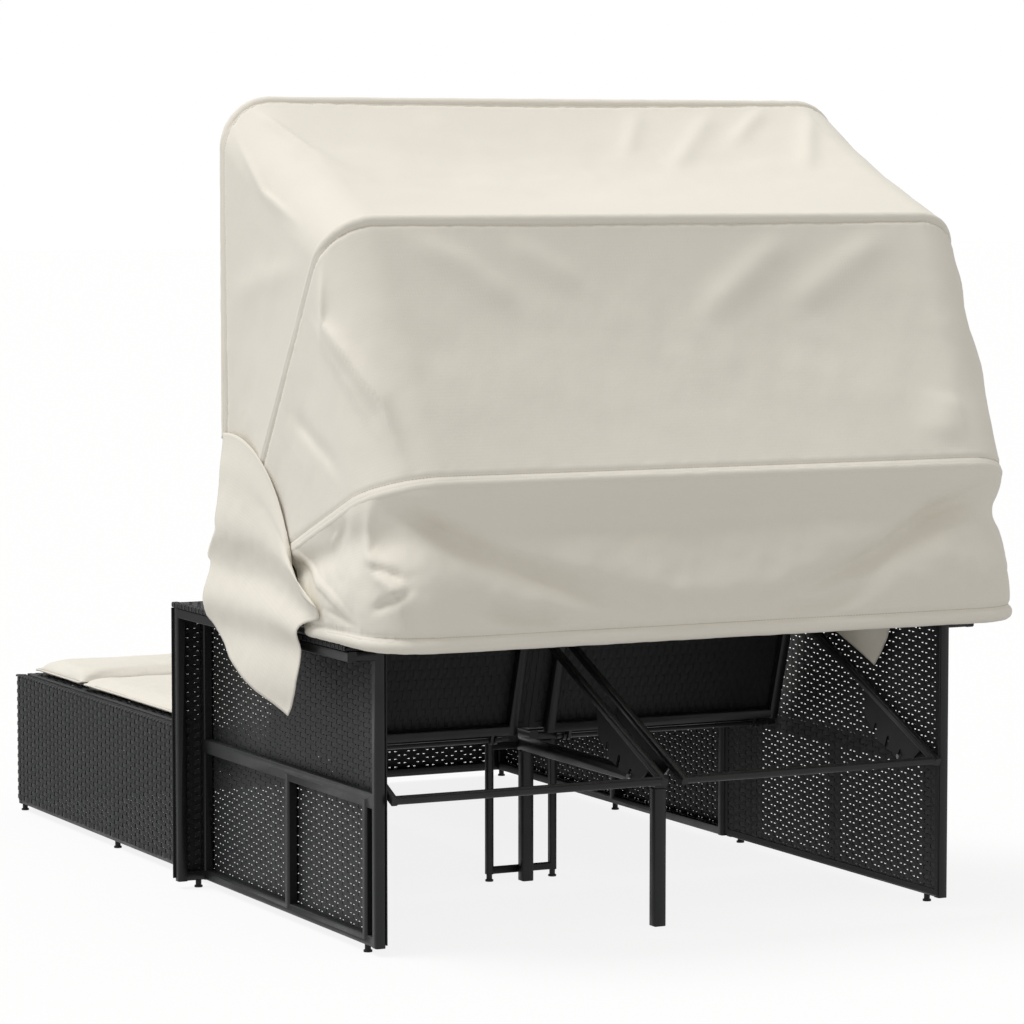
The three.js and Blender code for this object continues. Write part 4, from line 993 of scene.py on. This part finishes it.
def bowPanel(panel):
    # the cloth between two bows: sagging, folded, rippled and grooved at its seams
    upper, lower, seed = lineOf(panel["upper"]), lineOf(panel["lower"]), panel["seed"]

    def at(share, down):
        top, low = upper(share), lower(share)
        point, span = top.lerp(low, down), (top - low).length
        flat = max(1 - (share / hood["topShare"]) ** 2, 0)
        hold = math.sin(math.pi * down)
        side = cloth["sideSag"]
        depth = math.sin(math.pi * down ** cloth["sagPower"]) * panel["sag"] * (side + (1 - side) * flat)
        depth -= min(cloth["foldRise"] * hold, 1) * foldHeight(panel["folds"], share, down, panel["length"])
        depth += hold * ripples(point, cloth["ripples"], seed)
        for strength, gap, number in zip(panel["grooves"], (down, 1 - down), (seed, seed + 9)):
            depth += strength * seamGroove(gap * span, share, number)
        return point - awayFromPivot(point) * depth
    return at


def skirtPoint(share, down):
    top, low = bowPoint(bows["seam"], share), hemPoint(share)
    point, span = top.lerp(low, down), (top - low).length
    hold = math.sin(math.pi * down)
    depth = hold * sum(height * bell(down, middle, width) for height, middle, width in skirtShape["bells"])
    depth += min(cloth["foldRise"] * hold, 1) * foldHeight(skirtFolds, share, down, cloth["skirtLength"])
    depth += hold * ripples(point, skirtShape["ripples"], skirtShape["seed"])
    depth -= skirtShape["rightDip"] * hold * ease((-share - skirtShape["dipFrom"]) * skirtShape["dipSlope"])
    depth -= seamGroove((1 - down) * span - hem["rise"], share, skirtShape["grooveSeed"])
    return point + levelOut(point) * depth


def clothPiece(name, pointAt, shares, downs, size, node, body=None):
    points = [[pointAt(s, d) for s in shares] for d in downs]
    uvs = [[(s * size[0], d * size[1]) for s in shares] for d in downs]
    item = newPiece(name, gridMesh(name, points, uvs), "canopy", body, (node,))
    thicken(item, cloth["thickness"])
    return item


def sleevePiece(name, lineAt, side, radius, body, seed, floor=False):
    # cloth wrapped round a bow
    rows, uvs, count, step = [], [], cloth["sleeveSides"], cloth["tangentStep"]
    for share in acrossShares:
        centre = lineAt(share)
        along = (lineAt(min(share + step, 1)) - lineAt(max(share - step, -1))).normalized()
        out = along.cross(side).normalized()
        ring = []
        for turn in steps(0, 2 * math.pi, count)[:-1]:
            c, s = math.cos(turn), math.sin(turn)
            wrinkle = noise.noise(Vector((share * 60 + turn * 0.6, c * 1.5, s * 1.5 + seed)))
            spot = centre + (out * c * radius[0] + side * s * radius[1]) * (1 + cloth["sleeveWrinkle"] * wrinkle)
            if floor and abs(spot.x) > hem["armSide"] and spot.y < hem["armEnd"]:
                spot.z = max(spot.z, hem["armTop"])
            ring.append(spot)
        rows.append(ring)
        uvs.append([(share * cloth["half"], k * cloth["sleeveUv"]) for k in range(count)])
    mesh = gridMesh(name, rows, uvs, closed=True)
    mesh.flip_normals()
    item = newPiece(name, mesh, "canopy", body)
    thicken(item, cloth["sleeveThickness"])
    return item


def bowSleeve(key):
    bow = bows[key]
    lean = math.radians(bow["lean"])
    return sleevePiece(key + "BowSleeve", lambda share: bowPoint(bow, share, 0),
                       Vector((0, math.cos(lean), -math.sin(lean))), cloth["sleeve"], key + "_bow",
                       bow["plane"] * cloth["sleeveSeed"])


def stitchPiece(name, pointAt, ends, gap, fromEnd, outward, body):
    # one row of stitches lying in a seam's groove, at a fixed distance from one of the panel's two edges
    points = []
    for share in seamShares:
        down = gap / (ends[0](share) - ends[1](share)).length
        spot = pointAt(share, 1 - down if fromEnd else down)
        points.append(spot + outward(spot) * (cloth["thickness"] / 2 + cloth["stitchRise"]))
    mesh = runRecipe(recipes["stitch"], pathMesh(points), {
        "Pitch": cloth["stitchPitch"], "Stitch Length": cloth["stitchLength"],
        "Thickness": cloth["stitchThickness"], "Material": finishes["thread"]})
    return newPiece(name, mesh, "thread", body)


pointAts = {key: bowPanel(panel) for key, panel in panels.items()}
sheets = {
    key: clothPiece("canopy" + key.capitalize() + "Panel", pointAts[key], acrossShares, downShares,
                    (cloth["half"], panel["length"]), "canopy_" + key + "_panel")
    for key, panel in panels.items()}
skirt = clothPiece("canopySkirt", skirtPoint, acrossShares, downShares, (cloth["half"], cloth["skirtLength"]),
                   "canopy_skirt")
sleeves = {key: bowSleeve(key) for key in bows}
hemRoll = sleevePiece("hemRoll", lambda share: hemPoint(share, 0) + Vector((0, 0, hem["rise"])), Vector((0, 0, -1)),
                      cloth["hemRoll"], "base", cloth["hemSeed"], True)
for key, panel in panels.items():
    ends, item = [panel["upper"], panel["lower"]], sheets[key]
    for name, end in panel["seams"].items():
        stitchPiece(name + "SeamStitches", pointAts[key], [lineOf(bow) for bow in ends], cloth["seamAt"],
                                end == "lower", awayFromPivot, panel[end] + "_bow")
    first, second = panel["lower"] + "_bow", panel["upper"] + "_bow"
    # the lean half-way between the two bows, and a point at the blend's reach on that plane; nothing uses them
    lean = sum(bows[bow]["lean"] for bow in ends) / 2
    centre = leant(lean, 0, cloth["blendReach"])
    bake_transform(item)
hemSeam = stitchPiece("hemStitches", skirtPoint, (lineOf("seam"), hemPoint), cloth["seamAt"] + hem["rise"], True,
                      levelOut, "base")
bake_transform(skirt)
print("canopy panels, sleeves and seams made")

# Loose corners of the canopy: edges in (y, z), and sideways places by height
flaps = {
    "left": {
        "top": (0.328, 0.360),
        "front": [(0.340, 0.948), (0.343, 0.860), (0.345, 0.780), (0.340, 0.756), (0.278, 0.708), (0.287, 0.690),
                  (0.286, 0.640), (0.288, 0.585)],
        "low": [(0.288, 0.585), (0.354, 0.542), (0.404, 0.508), (0.504, 0.471), (0.603, 0.449), (0.675, 0.431)],
        "rear": [(0.668, 0.745), (0.712, 0.695), (0.770, 0.668), (0.820, 0.652), (0.822, 0.638), (0.806, 0.626),
                 (0.762, 0.616), (0.744, 0.600), (0.738, 0.555), (0.722, 0.490), (0.675, 0.431)],
        "across": [(0.43, 0.7060), (0.50, 0.7110), (0.56, 0.7050), (0.62, 0.7160), (0.69, 0.6990), (0.77, 0.7130),
                   (0.86, 0.7040), (0.95, 0.6955)],
        "wave": 0.003, "gather": (0, -0.8, 0.6)},
    "right": {
        "top": (0.310, 0.335), "front": [(0.330, 0.930), (0.322, 0.830), (0.308, 0.700), (0.299, 0.591)],
        "low": [(0.299, 0.591), (0.400, 0.553), (0.540, 0.502), (0.677, 0.459)],
        "rear": [(0.644, 0.736), (0.700, 0.690), (0.736, 0.610), (0.728, 0.530), (0.677, 0.459)],
        "across": [(0.45, 0.5900), (0.60, 0.5900), (0.66, 0.6020), (0.76, 0.6180), (0.86, 0.6240), (0.94, 0.6660)],
        "wave": 0.004, "gather": (0, -0.89, 0.456)},
}
flapShape = {
    "anchor": (0, 0.68, 0.62), "keep": 0.2, "floor": 0.45, "follow": 1.44, "waves": (2.6, 0.8), "fadeIn": 3,
    "ripple": 0.0012, "rippleScale": 24, "seed": 61,
}


def alongLine(points, t):
    # a smooth line through points, by its share of the length
    lengths = [math.dist(a, b) for a, b in zip(points, points[1:])]
    left = t * sum(lengths)
    index = 0
    while index < len(lengths) - 1 and left > lengths[index]:
        left -= lengths[index]
        index += 1
    u = min(max(left / lengths[index], 0), 1)
    near = [points[min(max(index + k, 0), len(points) - 1)] for k in (-1, 0, 1, 2)]
    return [0.5 * (2 * b + (c - a) * u + (2 * a - 5 * b + 4 * c - d) * u * u + (3 * b - a - 3 * c + d) * u ** 3)
            for a, b, c, d in zip(*near)]


def flapPoint(shape, sign):
    first, last = shape["top"]
    lean = bows["seam"]["lean"]
    start, end = shape["front"][0], shape["rear"][0]
    corner, tip = shape["low"][0], shape["low"][-1]
    fixA, fixB = [[place[i - 1] - leant(turn, 0, r)[i] for i in (1, 2)]
                  for place, turn, r in ((start, 0, first), (end, lean, last))]
    levels = shape["across"]
    highest = levels[-1][0]

    def topAt(u):
        # an arc round the pivot, pulled onto the front and rear edges' upper ends
        spot = leant(lean * u, 0, first + (last - first) * u)
        return [spot[i + 1] + fixA[i] * (1 - u) + fixB[i] * u for i in (0, 1)]

    def at(u, v):
        top, low = topAt(u), alongLine(shape["low"], u)
        front, rear = alongLine(shape["front"], v), alongLine(shape["rear"], v)
        y, z = [(1 - v) * top[i] + v * low[i] + (1 - u) * front[i] + u * rear[i]
                - (1 - u) * ((1 - v) * start[i] + v * corner[i]) - u * ((1 - v) * end[i] + v * tip[i]) for i in (0, 1)]
        # the upper edge stays on the panels' legs, whatever its height
        level = highest
        if v > 0:
            level = max(z, flapShape["floor"]) + (highest - top[1]) * max(1 - flapShape["follow"] * v, 0)
            level = min(level, highest)
        for (z0, x0), (z1, x1) in zip(levels, levels[1:]):
            if level <= z1:
                break
        wave = shape["wave"] * math.sin(math.pi * (flapShape["waves"][0] * u + flapShape["waves"][1] * v))
        wave += flapShape["ripple"] * ripple(Vector((0, y, z)), flapShape["rippleScale"], flapShape["seed"])
        x = x0 + (x1 - x0) * ease((level - z0) / (z1 - z0)) + wave * min(flapShape["fadeIn"] * v, 1)
        return Vector((sign * x, y, z))
    return at


for label, side, sign in sides:
    pointAt = flapPoint(flaps[side], sign)
    shares, length = steps(0, 1, cloth["flapSteps"]), cloth["flapLength"]
    item = clothPiece("canopyFlap" + label, lambda s, d: pointAt(s if sign > 0 else 1 - s, d), shares, shares,
                      (length, length), "canopy_flap_" + side, "base")
    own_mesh(item)
print("canopy flaps made")

# Cushions
pads = {
    "seam": 0.010, "edge": 0.060, "crown": 0.12, "voxel": 0.009, "frames": 20, "cap": 0.006, "pressure": 3.0,
    "shrink": 0.0035, "piping": 0.0024, "pipingSides": 8, "wrinkle": 0.0016, "columns": 40, "rows": 56, "quality": 4,
    "slack": -0.03, "floor": 0.0004, "points": 200, "corner": 22, "fill": 0.6, "sidePower": 6, "bulge": 0.6,
    "under": 0.88, "underRise": 3, "merge": 0.00005, "wrinkleScale": 16, "wrinkleHeight": 0.9, "seed": 11,
    "pipingHug": 0.25, "pipingFrom": 0.001,
}
cushions = {
    "footCushion": {"node": "foot_cushion", "body": "base", "low": (0.003, -1.080, 0.3123), "high": (0.5957, -0.780),
                    "height": 0.036, "pull": 0.010},
    "seatCushion": {"node": "seat_cushion", "body": "base", "low": (0.003, -0.777, 0.3123), "high": (0.5957, 0.245),
                    "height": 0.027, "pull": 0.010},
    "backCushion": {"node": "back_cushion", "body": "backrest", "low": (0.0007, 0.040, 0.0143), "high": (0.580, 0.600),
                    "height": 0.042, "pull": 0.002},
}


def cushionEdge(low, high, pull, u, v, shrink):
    # a rectangle whose sides pull in between its pointed corners
    return [(a + b) / 2 + w * ((b - a) / 2 - shrink - pull * (1 - abs(other) ** pads["sidePower"]))
            for a, b, w, other in zip(low, high, (u, v), (v, u))]


def cushionMesh(name, low, high, height, pull):
    columns, rows, seam, edge = pads["columns"], pads["rows"], pads["seam"], pads["edge"]
    width, length = [(b - a) / 2 for a, b in zip(low, high)]
    spots, faces = [], []
    for top in (True, False):
        for v in [math.sin(math.pi / 2 * t) for t in steps(-1, 1, rows)]:
            for u in [math.sin(math.pi / 2 * t) for t in steps(-1, 1, columns)]:
                rise = min((1 - abs(u)) * width / edge, 1) * min((1 - abs(v)) * length / edge, 1)
                bulge = (rise * (2 - rise)) ** pads["bulge"]
                crown = 1 - pads["crown"] * (1 - (1 - u * u) * (1 - v * v))
                if top:
                    z = seam + (height - pads["shrink"] - seam) * bulge * crown
                else:
                    z = seam * (1 - pads["under"] * min(rise * pads["underRise"], 1) ** pads["bulge"])
                spots.append((*cushionEdge(low, high, pull, u, v, pads["shrink"]), low[2] + z))
    per = (rows + 1) * (columns + 1)
    for r in range(rows):
        for c in range(columns):
            a = r * (columns + 1) + c
            b, d, e = a + 1, a + columns + 1, a + columns + 2
            faces += [(a, b, e, d), (a + per, d + per, e + per, b + per)]
    mesh = bpy.data.meshes.new(name)
    mesh.from_pydata(spots, [], faces)
    work = bmesh.new()
    work.from_mesh(mesh)
    bmesh.ops.remove_doubles(work, verts=work.verts, dist=pads["merge"])
    return smooth(meshFrom(work, name))


def puffUp(mesh, low, seed):
    # cloth simulation: pressure swells the cover, and no point may go further than the cap
    scene = bpy.context.scene
    item = placed("puffing", mesh)
    remesh = item.modifiers.new("even", "REMESH")
    remesh.mode = "VOXEL"
    remesh.voxel_size = pads["voxel"]
    even = settled(item)
    start = [v.co.copy() for v in even.vertices]
    item = placed("puffing", even)
    made = item.modifiers.new("cloth", "CLOTH")
    made.settings.use_pressure = True
    made.settings.uniform_pressure_force = pads["pressure"]
    made.settings.effector_weights.gravity = 0
    made.settings.quality = pads["quality"]
    made.settings.shrink_min = pads["slack"]
    made.point_cache.frame_start, made.point_cache.frame_end = 1, pads["frames"]
    for number in range(1, pads["frames"] + 1):
        scene.frame_set(number)
    done = settled(item)
    scene.frame_set(1)
    for vertex, before in zip(done.vertices, start):
        move = vertex.co - before
        if move.length > pads["cap"]:
            move *= pads["cap"] / move.length
        flat = Vector((before.x, before.y, 0))
        move.z += pads["wrinkle"] * ripple(flat, pads["wrinkleScale"], seed, pads["wrinkleHeight"])
        spot = before + move
        spot.z = max(spot.z, low[2] + pads["floor"])
        vertex.co = spot
    return smooth(done)


def pipingLine(mesh, low, high, pull):
    # the cushion's edge seam, with its corners drawn out to small points, lying on the finished cover
    cover = BVHTree.FromPolygons([v.co for v in mesh.vertices], [tuple(p.vertices) for p in mesh.polygons])
    points = []
    for turn in steps(0, 2 * math.pi, pads["points"])[:-1]:
        c, s, power = math.cos(turn), math.sin(turn), pads["corner"]
        grow = (abs(c) ** power + abs(s) ** power) ** (-1 / power)
        spot = Vector((*cushionEdge(low, high, pull, c * grow, s * grow, pads["piping"]), low[2] + pads["seam"]))
        near = cover.find_nearest(spot)[0]
        gap = spot - near
        points.append(near + gap * pads["pipingHug"] if gap.length > pads["pipingFrom"] else spot)
    return points


for number, (name, cushion) in enumerate(cushions.items()):
    low, high = cushion["low"], cushion["high"]
    mesh = cushionMesh(name, low, high, cushion["height"], cushion["pull"])
    mesh = puffUp(mesh, low, number * pads["seed"])
    line = pipingLine(mesh, low, high, cushion["pull"])
    piping = smooth(tubeMesh(line, pads["piping"], pads["pipingSides"], "cushion", True))
    if cushion["body"] == "backrest":
        mesh.transform(raised)
        piping.transform(raised)
    for label, side, sign in sides:
        body = sideBody(cushion["body"], side)
        newPiece(name + "Piping" + label, sideMesh(piping, sign), "cushion", body)
        item = newPiece(name + label, sideMesh(mesh, sign), "cushion", body, (cushion["node"] + "_" + side,))
        finer = item.modifiers.new("finer", "SUBSURF")
        finer.levels = finer.render_levels = 1
    print("cushion made:", name)
